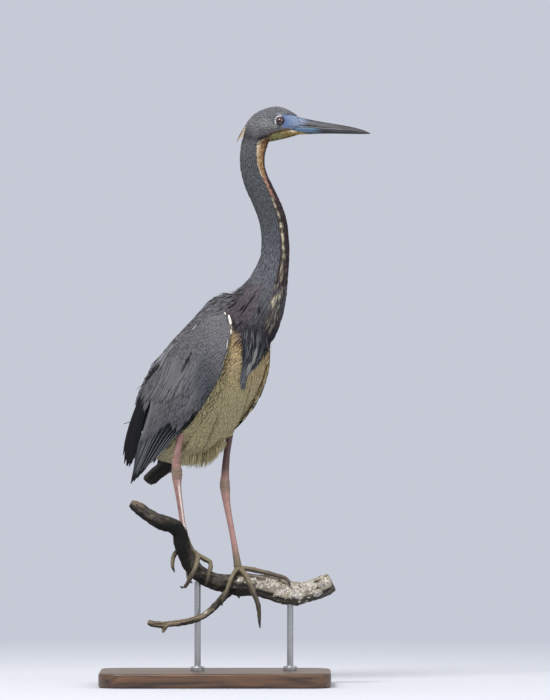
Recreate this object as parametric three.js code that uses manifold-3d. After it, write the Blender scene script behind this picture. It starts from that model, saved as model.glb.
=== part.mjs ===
// A tricolored heron standing upright on a cut length of branch, held over a flat display base by two rods.
// Millimetres, +Z up. The origin is the middle of the base's underside.
// The bird faces +X, its breast turned to -Y.
// Every solid is a three.js primitive whose vertices are moved by a function of where they lie on it.
import * as THREE from "three";
import { mergeVertices } from "three/addons/utils/BufferGeometryUtils.js";
import Module from "manifold-3d";

const wasm = await Module();
wasm.setup();

// ---------------------------------------------------------------- driving dimensions

const GAP = 0.35; // left between pieces that touch
const BODY_YAW = 35; // degrees that the breast is turned from +X towards -Y
const BODY_PITCH = 50; // degrees that the back slopes up towards the neck
const TAIL_LIFT = 13; // degrees that the tail is raised from the line of the trunk
const HEAD_YAW = 10; // degrees that the bill is turned from +X towards -Y
const TRUNK_AT = new THREE.Vector3(-16, 4, 372);

const EYE_RADIUS = 6.2;
const EYE_AT = [84.2, 705.7]; // along the head and up
const EYE_OUT = 7.6; // from the head's middle plane to the eyeball's centre

const BASE = { length: 290, depth: 190, height: 18, corner: 30, edge: 3 };
const ROD = { radius: 4, collar: 9, collarHeight: 6, top: 130 };
const RODS = [
  [-22, -2],
  [94, 9],
]; // X and Y of each rod

// ---------------------------------------------------------------- directions

const radians = THREE.MathUtils.degToRad;
const vec = (x, y, z) => new THREE.Vector3(x, y, z);
const UP = vec(0, 0, 1);
const level = (yaw) => vec(Math.cos(radians(yaw)), -Math.sin(radians(yaw)), 0);
const leftOf = (forward) => UP.clone().cross(forward).normalize();

const bodyLeft = leftOf(level(BODY_YAW));
const bodyForward = level(BODY_YAW)
  .multiplyScalar(Math.cos(radians(BODY_PITCH)))
  .addScaledVector(UP, Math.sin(radians(BODY_PITCH)));
const bodyBack = bodyForward.clone().cross(bodyLeft); // towards the bird's back
const headForward = level(HEAD_YAW);
const headLeft = leftOf(headForward);

// A point of the trunk's own frame: along the trunk, to the bird's left, and towards its back.
const onBody = (along, left, back) =>
  TRUNK_AT.clone()
    .addScaledVector(bodyForward, along)
    .addScaledVector(bodyLeft, left)
    .addScaledVector(bodyBack, back);

// A point of the head's frame: along the bill, to the bird's left, and up.
const HEAD_ORIGIN = vec(0, -27, 0);
const onHead = (along, left, up) =>
  HEAD_ORIGIN.clone()
    .addScaledVector(headForward, along)
    .addScaledVector(headLeft, left)
    .addScaledVector(UP, up);

// ---------------------------------------------------------------- shapes

// Smooth values along a row of stations: rows[i][column] at rows[i][0].
function along(rows, column) {
  const knots = rows.map((row) => row[0]);
  return (at) => {
    let i = 0;
    while (i < knots.length - 2 && at > knots[i + 1]) i++;
    const pick = (j) =>
      rows[THREE.MathUtils.clamp(j, 0, rows.length - 1)][column];
    const knot = (j) => knots[THREE.MathUtils.clamp(j, 0, rows.length - 1)];
    const span = knots[i + 1] - knots[i];
    const t = THREE.MathUtils.clamp((at - knots[i]) / span, 0, 1);
    const slope = (j) =>
      j <= 0 || j >= rows.length - 1
        ? (pick(i + 1) - pick(i)) / span
        : (pick(j + 1) - pick(j - 1)) / (knot(j + 1) - knot(j - 1));
    const [a, b] = [slope(i) * span, slope(i + 1) * span];
    const t2 = t * t;
    const t3 = t2 * t;
    return (
      (2 * t3 - 3 * t2 + 1) * pick(i) +
      (t3 - 2 * t2 + t) * a +
      (3 * t2 - 2 * t3) * pick(i + 1) +
      (t3 - t2) * b
    );
  };
}

// Moves a primitive's vertices to where place puts them.
function reshape(geometry, place) {
  const bare = new THREE.BufferGeometry()
    .setAttribute("position", geometry.getAttribute("position").clone())
    .setIndex(geometry.index);
  const position = bare.getAttribute("position");
  for (let i = 0; i < position.count; i++) {
    const p = place(position.getX(i), position.getY(i), position.getZ(i));
    position.setXYZ(i, p.x, p.y, p.z);
  }
  return mergeVertices(bare, 1e-3);
}

// A closed mesh as a solid. Its faces are turned round where a move left it inside out.
function solid(geometry) {
  const position = geometry.getAttribute("position");
  const triangles = new Uint32Array(geometry.index.array);
  const [a, b, c] = [vec(), vec(), vec()];
  let volume = 0;
  for (let i = 0; i < triangles.length; i += 3) {
    a.fromBufferAttribute(position, triangles[i]);
    b.fromBufferAttribute(position, triangles[i + 1]);
    c.fromBufferAttribute(position, triangles[i + 2]);
    volume += a.dot(b.cross(c));
  }
  if (volume < 0)
    for (let i = 0; i < triangles.length; i += 3)
      [triangles[i + 1], triangles[i + 2]] = [
        triangles[i + 2],
        triangles[i + 1],
      ];
  return new wasm.Manifold(
    new wasm.Mesh({
      numProp: 3,
      vertProperties: new Float32Array(position.array),
      triVerts: triangles,
    }),
  );
}

// A closed tube of rings. section(t) gives its middle, its side and up directions, and the half sizes across,
// over and under, at t from 0 to 1.
function tube(sides, steps, section, grow = 0) {
  const cylinder = new THREE.CylinderGeometry(1, 1, 1, sides, steps);
  const place = (x, y, z) => {
    const s = section(y + 0.5);
    const angle = Math.atan2(z, x);
    const reach = Math.min(1, Math.hypot(x, z));
    const power = 2 / (s.square ?? 2);
    const round = (v) => Math.sign(v) * Math.abs(v) ** power;
    const rise = z < 0 ? s.under : s.over;
    return s.at
      .clone()
      .addScaledVector(s.side, reach * (s.across + grow) * round(Math.cos(angle)))
      .addScaledVector(s.up, reach * (rise + grow) * round(Math.sin(angle)));
  };
  return solid(reshape(cylinder, place));
}

// A tube along a smooth line of points, each [x, y, z, radius], kept upright by a side direction.
function limb(points, sides, steps, side, { grow = 0, flat = 1, wave } = {}) {
  const line = new THREE.CatmullRomCurve3(
    points.map((p) => vec(p[0], p[1], p[2])),
    false,
    "centripetal",
  );
  const radius = along(
    points.map((p, i) => [i / (points.length - 1), p[3]]),
    1,
  );
  return tube(
    sides,
    steps,
    (t) => {
      const tangent = line.getTangent(t);
      const up = side.clone().cross(tangent).normalize();
      const r = radius(t) * (wave ? wave(t) : 1);
      return {
        at: line.getPoint(t),
        side: tangent.clone().cross(up),
        up,
        across: r,
        over: r * flat,
        under: r * flat,
      };
    },
    grow,
  );
}

// A curved sheet: place(u, v, w) with u along, v across, and w 0 inside or 1 outside.
function sheet(lengthSteps, widthSteps, place) {
  const box = new THREE.BoxGeometry(1, 1, 1, lengthSteps, widthSteps, 1);
  return solid(reshape(box, (x, y, z) => place(x + 0.5, y + 0.5, z + 0.5)));
}

const FEATHER_STEPS = 5;

// One long feather from root to tip. face is the way its upper side looks.
function feather({ points, width, face, thick = 1.3, tipThick = 0.6, camber = 0.12 }) {
  const line = new THREE.CatmullRomCurve3(points, false, "centripetal");
  const outline = along(
    [
      [0, 0.45],
      [0.35, 0.9],
      [0.7, 1],
      [0.88, 0.78],
      [1, 0.12],
    ],
    1,
  );
  return sheet(FEATHER_STEPS, 2, (u, v, w) => {
    const tangent = line.getTangent(u);
    const side = tangent.clone().cross(face).normalize();
    const over = side.clone().cross(tangent);
    const across = (v - 0.5) * 2;
    const half = (width / 2) * outline(u);
    const depth = THREE.MathUtils.lerp(thick, tipThick, u);
    return line
      .getPoint(u)
      .addScaledVector(side, across * half)
      .addScaledVector(over, camber * half * (1 - across * across) + (w - 0.5) * depth);
  });
}

// A thin round plate that parts a solid in two. normal is across the cut.
function cutter(at, normal, radius) {
  const plate = new THREE.CylinderGeometry(radius, radius, GAP, 16);
  const turn = new THREE.Quaternion().setFromUnitVectors(
    vec(0, 1, 0),
    normal.clone().normalize(),
  );
  return solid(
    reshape(plate, (x, y, z) => vec(x, y, z).applyQuaternion(turn).add(at)),
  );
}

const ball = (at, radius, wide = 12) =>
  solid(
    reshape(new THREE.SphereGeometry(radius, wide, wide / 2), (x, y, z) =>
      vec(x, y, z).add(at),
    ),
  );

const joined = (solids) => solids.reduce((a, b) => a.add(b));

const middleOf = (piece) => {
  const { min, max } = piece.boundingBox();
  return vec(...min.map((low, i) => (low + max[i]) / 2));
};

// The piece of a parted solid whose middle is nearest to a point.
const nearest = (pieces, point) =>
  pieces.reduce((a, b) =>
    middleOf(a).distanceTo(point) < middleOf(b).distanceTo(point) ? a : b,
  );

// The largest piece of a solid, without the crumbs that a cut can leave.
const largest = (piece) =>
  piece.decompose().reduce((a, b) => (a.volume() > b.volume() ? a : b));

// ---------------------------------------------------------------- trunk, neck and head

// Along the trunk: half width, then depth to the back and to the belly.
const TRUNK = [
  [-112, 5, 6, 8],
  [-104, 17, 18, 24],
  [-88, 33, 36, 47],
  [-60, 46, 51, 60],
  [-20, 53, 60, 62],
  [15, 54, 62, 61],
  [50, 51, 60, 57],
  [80, 44, 59, 47],
  [104, 34, 55, 34],
  [120, 22, 43, 18],
  [129, 7, 20, 6],
];

function trunk(grow) {
  const [first, last] = [TRUNK[0][0], TRUNK[TRUNK.length - 1][0]];
  const [across, over, under] = [1, 2, 3].map((column) => along(TRUNK, column));
  return tube(
    18,
    15,
    (t) => {
      const at = THREE.MathUtils.lerp(first, last, t);
      return {
        at: onBody(at, 0, 0),
        side: bodyLeft,
        up: bodyBack,
        across: across(at),
        over: over(at),
        under: under(at),
        square: 2.15,
      };
    },
    grow,
  );
}

// Up the neck: X, Y, Z, half depth seen from the side, half width seen from the front.
const NECK = [
  [28, -30, 425, 28, 30],
  [45, -33, 451, 33, 32],
  [58, -33, 479, 30, 29],
  [68, -31, 507, 23.5, 22],
  [74.5, -29, 533, 18.5, 17.5],
  [75.3, -28, 558, 17.2, 15.5],
  [71.8, -27, 584, 16.9, 14.6],
  [62, -27, 609, 16.2, 14],
  [52.5, -27, 629, 15.9, 13.6],
  [47, -27, 648, 15.3, 13.2],
  [47, -27, 667, 15.6, 13],
  [51.5, -27, 684, 16.4, 12.6],
  [60, -27, 698, 13, 11],
];

const neckLine = new THREE.CatmullRomCurve3(
  NECK.map((n) => vec(n[0], n[1], n[2])),
  false,
  "centripetal",
);
const neckDepth = along(
  NECK.map((n, i) => [i / (NECK.length - 1), n[3], n[4]]),
  1,
);
const neckWidth = along(
  NECK.map((n, i) => [i / (NECK.length - 1), n[3], n[4]]),
  2,
);
const neckSide = (t) => bodyLeft.clone().lerp(headLeft, Math.min(1, t * 2)).normalize();

function neck(grow) {
  return tube(
    12,
    24,
    (t) => {
      const tangent = neckLine.getTangent(t);
      const front = neckSide(t).cross(tangent).normalize();
      return {
        at: neckLine.getPoint(t),
        side: tangent.clone().cross(front),
        up: front,
        across: neckWidth(t),
        over: neckDepth(t),
        under: neckDepth(t),
      };
    },
    grow,
  );
}

// Along the head: top, bottom, half width.
const SKULL = [
  [35.5, 694, 690, 3],
  [40, 703, 685.5, 8],
  [49, 713.8, 681.4, 12],
  [61, 720.3, 679.6, 14.2],
  [71, 723.4, 680.1, 14.6],
  [81, 724, 682.2, 13.8],
  [91, 720.8, 684.2, 11.2],
  [100, 715.6, 686.8, 8.8],
  [108, 709.6, 688.6, 7.2],
  [115, 706, 690, 5.8],
];

function skull(grow) {
  const [first, last] = [SKULL[0][0], SKULL[SKULL.length - 1][0]];
  const [top, bottom, wide] = [1, 2, 3].map((column) => along(SKULL, column));
  return tube(
    14,
    12,
    (t) => {
      const at = THREE.MathUtils.lerp(first, last, t);
      const half = (top(at) - bottom(at)) / 2;
      return {
        at: onHead(at, 0, bottom(at) + half),
        side: headLeft,
        up: UP,
        across: wide(at),
        over: half,
        under: half,
      };
    },
    grow,
  );
}

// Along the bill: the ridge on top, the line of the mouth, the keel below, and half width.
const BILL = [
  [96, 710.6, 697.9, 690.3, 7.6],
  [107, 710.4, 697.7, 688.7, 7],
  [123, 706.8, 696.7, 689.3, 5.9],
  [143, 703.3, 694.9, 689.7, 4.7],
  [170, 698.6, 692, 689.2, 3.2],
  [185, 695.1, 690.5, 688.9, 2.2],
  [197, 690.1, 689.6, 689.2, 0.5],
];

const MOUTH_EDGE = 0.05; // how far each half of the bill reaches past its mouth line
const THINNEST = 0.4;

function mandible(upper, grow = 0) {
  const [first, last] = [BILL[0][0], BILL[BILL.length - 1][0]];
  const [ridge, mouth, keel, wide] = [1, 2, 3, 4].map((column) => along(BILL, column));
  return tube(
    10,
    10,
    (t) => {
      const at = THREE.MathUtils.lerp(first, last, t);
      const line = mouth(at) + (upper ? GAP / 2 : -GAP / 2);
      return {
        at: onHead(at, 0, line),
        side: headLeft,
        up: UP,
        across: wide(at),
        over: upper ? Math.max(ridge(at) - line, THINNEST) : MOUTH_EDGE,
        under: upper ? MOUTH_EDGE : Math.max(line - keel(at), THINNEST),
        square: 1.7,
      };
    },
    grow,
  );
}

// ---------------------------------------------------------------- wings and tail

// Along a folded wing, on the trunk's frame: the lower edge, the outermost line and the upper edge,
// each with how far it is outwards and towards the back.
const WING = [
  [102, [31, -4], [37, 12], [27, 38]],
  [92, [41, -19], [50, 11], [31, 46.5]],
  [72, [49, -32], [59, 7], [30, 50.5]],
  [45, [55, -40], [66, 6], [26, 57.5]],
  [10, [60, -44], [69, 7], [21, 64]],
  [-25, [59, -43], [68, 9], [18, 67]],
  [-58, [52, -37], [61, 12], [14, 65]],
  [-88, [44, -28], [50, 16], [11, 57]],
  [-122, [34, -15], [35, 19], [8, 45]],
];

const wingLines = [1, 2, 3].map((edge) =>
  [0, 1].map((axis) =>
    along(
      WING.map((row) => [-row[0], row[edge][axis]]),
      1,
    ),
  ),
);
const WING_START = WING[0][0];
const WING_END = WING[WING.length - 1][0];

// How far out and back the folded wing's surface is, from its lower edge at v = 0 to its upper edge at v = 1.
function wingSurface(at, v) {
  const share = [2 * (v - 0.5) * (v - 1), -4 * v * (v - 1), 2 * v * (v - 0.5)];
  return [0, 1].map((axis) =>
    wingLines.reduce((sum, line, i) => sum + share[i] * line[axis](-at), 0),
  );
}

function wing(side) {
  return sheet(11, 5, (u, v, w) => {
    const at = THREE.MathUtils.lerp(WING_START, WING_END, u);
    const [out, back] = wingSurface(at, v);
    const depth = (2 + 26 * v * (1 - v)) * Math.min(1, 0.35 + 4 * u, 0.3 + 3 * (1 - u));
    const inward = w ? 0 : depth / Math.hypot(out, back);
    return onBody(at, side * out * (1 - inward), back * (1 - inward));
  });
}

// The long feathers beyond the shell of the wing, as a toothed blade. low and high are where it lies
// across the wing. The tips go in a line from one point of the trunk's frame to another, each [along, out, back].
const BLADE_THICK = [2.2, 0.9]; // at its root and at its tips
function blade(side, { low, high, tips, teeth, tooth }) {
  return sheet(4, 2 * teeth, (u, v, w) => {
    const across = THREE.MathUtils.lerp(low, high, v);
    const rootAt = WING_END - GAP;
    const root = wingSurface(WING_END, across);
    const tip = tips[0].map((value, i) => THREE.MathUtils.lerp(value, tips[1][i], v));
    const notch = Math.round(v * 2 * teeth) % 2 ? 0 : tooth;
    const at = THREE.MathUtils.lerp(rootAt, tip[0] + notch, u);
    const bulge = 3 * u * (1 - u);
    const out = THREE.MathUtils.lerp(root[0], tip[1], u) + bulge;
    const back = THREE.MathUtils.lerp(root[1], tip[2], u) + bulge;
    const depth = THREE.MathUtils.lerp(...BLADE_THICK, u);
    const inward = 0.3 + (w ? 0 : depth);
    const reach = Math.hypot(root[0], root[1]);
    return onBody(
      at,
      side * (out - (inward * root[0]) / reach),
      back - (inward * root[1]) / reach,
    );
  });
}

const PRIMARIES = {
  low: 0,
  high: 0.4,
  tips: [
    [-164, 14, 3],
    [-139, 27, 12],
  ],
  teeth: 4,
  tooth: 8,
};
const TERTIALS = {
  low: 0.42,
  high: 1,
  tips: [
    [-137, 27, 15],
    [-147, 7, 36],
  ],
  teeth: 4,
  tooth: 10,
};

const TAIL_LENGTH = 87;
const TAIL_FEATHERS = 4;

function tail() {
  const lift = radians(TAIL_LIFT);
  const root = [-60, 0, -27];
  const end = (reach) => [
    root[0] - reach * Math.cos(lift),
    root[2] + reach * Math.sin(lift),
  ];
  const feathers = Array.from({ length: TAIL_FEATHERS }, (_, i) => {
    const out = (i / (TAIL_FEATHERS - 1)) * 2 - 1;
    const [tipAlong, tipBack] = end(TAIL_LENGTH - 4 * out * out);
    const face = bodyBack.clone().addScaledVector(bodyLeft, out * 0.35).normalize();
    return feather({
      points: [
        onBody(root[0], out * 6, root[2]),
        onBody(
          (root[0] + tipAlong) / 2,
          out * 8,
          (root[2] + tipBack) / 2 + 2 - 3 * Math.abs(out),
        ),
        onBody(tipAlong, out * 10, tipBack - 4 * Math.abs(out)),
      ],
      width: 16,
      face,
      thick: 2.2,
      tipThick: 1,
    });
  });
  return joined(feathers);
}

// ---------------------------------------------------------------- loose plumes

// Two thin plumes at the nape, which hang clear of the neck.
function napePlumes() {
  const plume = (start, end, out, width) =>
    feather({
      points: [
        onHead(start[0], out, start[1]),
        onHead((start[0] + end[0]) / 2 - 1.5, out, (start[1] + end[1]) / 2 + 1),
        onHead(end[0], out * 1.2, end[1]),
      ],
      width,
      face: level(180 + HEAD_YAW),
      thick: 1.6,
      tipThick: 0.8,
    });
  return joined([
    plume([43, 703], [27.2, 677], 0.8, 4.2),
    plume([41, 696], [31, 681], -1, 4.2),
  ]);
}

// The pointed feathers that hang from the foot of the neck over the breast.
const BREAST_PLUME = [
  [118, 0, -14, 9],
  [98, -3, -38, 13],
  [80, -7, -50, 13],
  [64, -11, -58.5, 9],
  [50, -14, -62.5, 4],
  [42, -15, -64, 1.2],
];

function breastPlumes() {
  const points = BREAST_PLUME.map(([at, left, back, radius]) => {
    const p = onBody(at, left, back);
    return [p.x, p.y, p.z, radius];
  });
  return limb(points, 10, 9, bodyLeft, { flat: 0.45 });
}

// ---------------------------------------------------------------- legs and feet

// Each leg from inside the belly to the foot: X, Y, Z, radius. Each toe goes from the foot outwards,
// with its claw as the last two points.
const LEGS = {
  right: {
    thigh: [
      [-22, -18, 352, 24],
      [-29, -27, 335, 17],
      [-38, -32, 322, 9],
      [-41.5, -32.5, 316, 5],
    ],
    shank: [
      [-35, -34, 335, 5.2],
      [-42.2, -32, 315, 4],
      [-46.3, -25.5, 295, 3.9],
      [-49, -17, 279, 5],
    ],
    tarsus: [
      [-49, -17, 279, 5],
      [-47.6, -14.5, 267, 6.6],
      [-47.6, -12.5, 257, 5.6],
      [-46.6, -10.5, 246, 4.2],
      [-43.6, -6, 225, 3.6],
      [-41, -2.5, 205, 3.3],
      [-35.5, 0, 182, 3.5],
      [-31, 1.5, 170, 4.4],
    ],
    ball: [-29.8, 1.2, 167.5, 4.9],
    toes: {
      middle: [
        [-29, 0.5, 167.5, 3.9],
        [-22.5, -8.5, 163.5, 3.4],
        [-22.5, -20.5, 155, 3.3],
        [-26, -25, 144, 3.1],
        [-31, -24, 134.5, 2.9],
        [-35.5, -19.5, 126.5, 2.5],
        [-39.5, -15, 122.5, 1.9],
        [-43.8, -12.5, 123.8, 0.6],
      ],
      outer: [
        [-29, 0.5, 167.5, 3.8],
        [-20, -1.5, 162, 3.3],
        [-12, -5, 157.6, 3.2],
        [-5.2, -9, 153.6, 3.1],
        [-6.5, -15, 145.6, 2.8],
        [-8.3, -17.5, 137, 2.4],
        [-10, -17, 130, 1.9],
        [-12.5, -14, 125, 0.6],
      ],
      inner: [
        [-30, 0.5, 167.5, 3.8],
        [-39, 1.5, 168.8, 3.3],
        [-47, -2, 167.8, 3.1],
        [-52.2, -8.5, 162, 2.9],
        [-53.4, -12, 154, 2.6],
        [-53, -13.5, 147.5, 2],
        [-50.6, -15, 142, 0.6],
      ],
      hind: [
        [-30, 2, 167, 3.7],
        [-32, 5.5, 158, 3.1],
        [-34, 4, 146.5, 2.8],
        [-34, -3.5, 137, 2.4],
        [-32, -10.5, 131, 1.9],
        [-28.6, -16, 128.5, 0.6],
      ],
    },
  },
  left: {
    thigh: [
      [8, 6, 352, 22],
      [12, 9, 334, 17],
      [15, 11, 319, 9.5],
      [16.2, 11.5, 311, 5],
    ],
    shank: [
      [19.5, 10, 326, 5.2],
      [17, 12, 306, 4.1],
      [14, 13, 286, 4.1],
      [12.3, 13.5, 262, 5],
    ],
    tarsus: [
      [12.3, 13.5, 262, 5],
      [12, 13, 250, 6.4],
      [12.8, 12, 241, 5.6],
      [14.4, 10.5, 228, 4.4],
      [18.2, 7, 207, 3.7],
      [22, 3, 187, 3.5],
      [26.2, -0.5, 163, 4],
      [28.4, -2, 149, 5],
    ],
    ball: [28.8, -2.3, 145.5, 5.3],
    toes: {
      middle: [
        [29, -3, 145, 4],
        [35, -10, 142.5, 3.6],
        [42.9, -18.5, 128.8, 3.5],
        [49.5, -20, 113, 3.3],
        [53.5, -19, 103.5, 3.1],
        [55.2, -17, 92, 2.7],
        [55.4, -15, 82.5, 2.1],
        [56.4, -12.5, 71.8, 0.6],
      ],
      outer: [
        [29, -3, 146, 3.9],
        [37, -3.5, 146, 3.5],
        [47, -4, 144.7, 3.3],
        [58, -5, 142.2, 3.2],
        [70, -6.5, 139.4, 3],
        [80, -8.5, 136.6, 2.8],
        [88.5, -11, 134, 2.5],
        [92.8, -14, 129.5, 1.9],
        [93.2, -17, 123.6, 0.6],
      ],
      inner: [
        [28, -3, 145, 3.9],
        [24, -9.5, 141, 3.4],
        [19.4, -15, 132, 3.1],
        [15.5, -16.8, 121, 2.9],
        [11.4, -17.4, 112, 2.4],
        [9, -16.8, 106, 1.9],
        [8.4, -13.6, 100, 0.6],
      ],
      hind: [
        [28, -1, 145, 3.8],
        [26, 8, 142, 3.2],
        [24, 15, 133.5, 3],
        [25, 17, 122, 2.6],
        [27.4, 15.5, 114, 2],
        [30.5, 11.5, 108.5, 0.6],
      ],
    },
  },
};

const TOE_SIDES = 5;

function toeSide(points) {
  const [first, last] = [points[0], points[points.length - 2]];
  return vec(last[0] - first[0], last[1] - first[1], 0)
    .normalize()
    .cross(UP)
    .normalize();
}

// A toe's last two points are its claw, which a thin cut parts from the toe.
function clawCut(points) {
  const [before, root] = points.slice(-3, -1).map((p) => vec(p[0], p[1], p[2]));
  return cutter(root, root.clone().sub(before), 2 * points[points.length - 2][3]);
}

function clawMiddle(points) {
  const [root, tip] = points.slice(-2).map((p) => vec(p[0], p[1], p[2]));
  return root.lerp(tip, 0.5);
}

// ---------------------------------------------------------------- perch

const BRANCH = [
  [-105, -42, 229, 5],
  [-97, -41, 224, 7.6],
  [-84, -37, 214, 9],
  [-69, -32, 205.5, 9.6],
  [-54, -26, 201, 10.4],
  [-45, -21.5, 193.5, 10],
  [-41.5, -17.5, 178, 10],
  [-38, -14, 165, 10],
  [-30, -9.5, 150.5, 10.2],
  [-15, -4, 136.5, 10.6],
  [6, -1, 128, 12],
  [29, 0, 126, 14],
  [50, 1, 125.5, 15],
  [70, 3, 121.5, 15.2],
  [95, 6, 114.5, 15.2],
  [112, 8, 115.5, 14.2],
  [132, 10, 122, 13.4],
  [146, 11.5, 129, 13],
];
const TWIG = [
  [20, -2, 120, 6],
  [9, -7.5, 109, 5.2],
  [-1, -13, 98.5, 4.7],
  [-17, -19, 86, 4.5],
  [-36, -23, 80.5, 4.6],
  [-56, -27, 77.5, 4.2],
  [-72, -30, 77, 4.6],
  [-84, -33, 80, 3.6],
];
const SPUR = [
  [-60, -28, 77, 4],
  [-64, -29, 71, 3.4],
  [-65, -29.5, 66.5, 2],
];

const knots = (t) => 1 + 0.05 * Math.sin(41 * t) + 0.035 * Math.sin(97 * t + 1);
const branch = (grow) => limb(BRANCH, 9, 26, vec(0, 1, 0.15), { grow, wave: knots });
const twig = (grow) =>
  limb(TWIG, 6, 12, vec(0, 1, 0), { grow, wave: knots }).add(
    limb(SPUR, 5, 2, vec(0, 1, 0), { grow }),
  );

// ---------------------------------------------------------------- display stand

function base() {
  const { length, depth, height, corner, edge } = BASE;
  const [x, y] = [length / 2 - edge, depth / 2 - edge];
  const r = corner - edge;
  const outline = new THREE.Shape()
    .moveTo(-x + r, -y)
    .lineTo(x - r, -y)
    .absarc(x - r, -y + r, r, -Math.PI / 2, 0)
    .lineTo(x, y - r)
    .absarc(x - r, y - r, r, 0, Math.PI / 2)
    .lineTo(-x + r, y)
    .absarc(-x + r, y - r, r, Math.PI / 2, Math.PI)
    .lineTo(-x, -y + r)
    .absarc(-x + r, -y + r, r, Math.PI, 1.5 * Math.PI);
  const slab = new THREE.ExtrudeGeometry(outline, {
    depth: height - 2 * edge,
    bevelSize: edge,
    bevelThickness: edge,
    bevelSegments: 1,
    curveSegments: 3,
  });
  return solid(indexed(slab.translate(0, 0, edge)));
}

const indexed = (geometry) => {
  const bare = new THREE.BufferGeometry().setAttribute(
    "position",
    geometry.getAttribute("position"),
  );
  return mergeVertices(bare, 1e-3);
};

const post = (radius, topRadius, height, at) =>
  solid(
    reshape(
      new THREE.CylinderGeometry(topRadius, radius, height, 14).translate(0, height / 2, 0),
      (x, y, z) => vec(x, -z, y).add(at),
    ),
  );

function rod([x, y], top) {
  const bottom = BASE.height + GAP;
  const { radius, collar, collarHeight } = ROD;
  return joined([
    post(collar, collar, collarHeight - 1.5, vec(x, y, bottom)),
    post(collar, collar - 1.5, 1.5, vec(x, y, bottom + collarHeight - 1.5)),
    post(radius, radius, top - bottom, vec(x, y, bottom)),
  ]);
}

// ---------------------------------------------------------------- the object

const COLOURS = {
  slate: [0x65686f, 0.85],
  slate_dark: [0x2a2f34, 0.7],
  white_coat: [0xb9ad8e, 0.9],
  bill: [0x4f545e, 0.45],
  eye: [0x3a0f12, 0.1],
  plume: [0xd8cba4, 0.85],
  leg_skin: [0xb08480, 0.45],
  foot_skin: [0x7a6f52, 0.55],
  claw: [0x1f1c19, 0.4],
  bark: [0x4a443b, 0.95],
  base_wood: [0x33241b, 0.45],
  steel: [0x9a9da1, 0.35, 1],
};
const materials = Object.fromEntries(
  Object.entries(COLOURS).map(([name, [color, roughness, metalness = 0]]) => [
    name,
    new THREE.MeshStandardMaterial({ name, color, roughness, metalness }),
  ]),
);

const heron = new THREE.Group();

function add(name, piece, material) {
  const { numProp, vertProperties, triVerts } = largest(piece).getMesh();
  const position = new Float32Array((vertProperties.length / numProp) * 3);
  for (let i = 0; i < position.length / 3; i++)
    position.set(vertProperties.subarray(i * numProp, i * numProp + 3), i * 3);
  const geometry = new THREE.BufferGeometry()
    .setAttribute("position", new THREE.BufferAttribute(position, 3))
    .setIndex(new THREE.BufferAttribute(new Uint32Array(triVerts), 1));
  const mesh = new THREE.Mesh(geometry, materials[material]);
  mesh.name = name;
  heron.add(mesh);
}

// The flesh is one solid, parted by thin cuts across the neck.
const eyeAt = (side) => onHead(EYE_AT[0], side * EYE_OUT, EYE_AT[1]);
const flesh = joined([trunk(0), neck(0), skull(0)]);
const fleshRoom = joined([trunk(GAP), neck(GAP), skull(GAP)]);
const billRoom = mandible(true, GAP).add(mandible(false, GAP));
const neckCuts = [
  [0.9, 26],
  [0.6, 26],
  [0.34, 32],
  [0.13, 62],
].map(([t, radius]) => cutter(neckLine.getPoint(t), neckLine.getTangent(t), radius));

const sockets = [-1, 1].map((side) => ball(eyeAt(side), EYE_RADIUS + GAP));
const parted = flesh
  .subtract(joined([...neckCuts, ...sockets, billRoom]))
  .decompose();
const partAt = (point) => nearest(parted, point);
add("head", partAt(onHead(75, 0, 700)), "slate");
add("neck_upper", partAt(neckLine.getPoint(0.75)), "slate");
add("neck_middle", partAt(neckLine.getPoint(0.47)), "slate");
add("neck_lower", partAt(neckLine.getPoint(0.23)), "slate");

add("trunk", partAt(TRUNK_AT), "white_coat");
add("breast_plumes", breastPlumes().subtract(fleshRoom), "slate");
add("nape_plumes", napePlumes().subtract(fleshRoom), "plume");
add("bill_upper", mandible(true), "bill");
add("bill_lower", mandible(false), "bill");
add("tail", tail().subtract(trunk(GAP)), "slate_dark");

for (const [name, side] of [
  ["right", -1],
  ["left", 1],
]) {
  add("eye_" + name, ball(eyeAt(side), EYE_RADIUS), "eye");
  add("wing_" + name, wing(side).subtract(fleshRoom), "slate");
  add("primaries_" + name, blade(side, PRIMARIES), "slate_dark");
  add("tertials_" + name, blade(side, TERTIALS), "slate_dark");
}

// A leg is one solid too, parted at the ankle, above the foot and at the claws. What it grips cuts it back.
const branchRoom = branch(GAP).add(twig(GAP));
for (const [name, leg] of Object.entries(LEGS)) {
  const thigh = (grow) => limb(leg.thigh, 12, 6, bodyLeft, { grow });
  add("thigh_" + name, thigh(0).subtract(fleshRoom), "white_coat");
  const across = vec(0, 1, 0);
  const shank = limb(leg.shank, 8, 5, across);
  const tarsus = limb(leg.tarsus, 8, 11, across);
  const toes = Object.values(leg.toes);
  const foot = joined([
    ball(vec(...leg.ball), leg.ball[3], 8),
    ...toes.map((points) => limb(points, TOE_SIDES, points.length + 2, toeSide(points))),
  ]);
  const ankle = vec(...leg.tarsus[0]).add(vec(0, 0, -2));
  const shankLine = vec(...leg.shank[3]).sub(vec(...leg.tarsus[2]));
  const instep = vec(...leg.ball).add(vec(0, 0, leg.ball[3] * 1.3));
  const cuts = [cutter(ankle, shankLine, 12), cutter(instep, UP, 9), ...toes.map(clawCut)];
  const pieces = joined([shank, tarsus, foot])
    .subtract(joined([...cuts, thigh(GAP), fleshRoom, branchRoom]))
    .decompose();
  add("shank_" + name, nearest(pieces, vec(...leg.shank[2])), "leg_skin");
  add("tarsus_" + name, nearest(pieces, vec(...leg.tarsus[4])), "leg_skin");
  add("foot_" + name, nearest(pieces, vec(...leg.ball)), "foot_skin");
  for (const [toe, points] of Object.entries(leg.toes))
    add(`claw_${name}_${toe}`, nearest(pieces, clawMiddle(points)), "claw");
}

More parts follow.
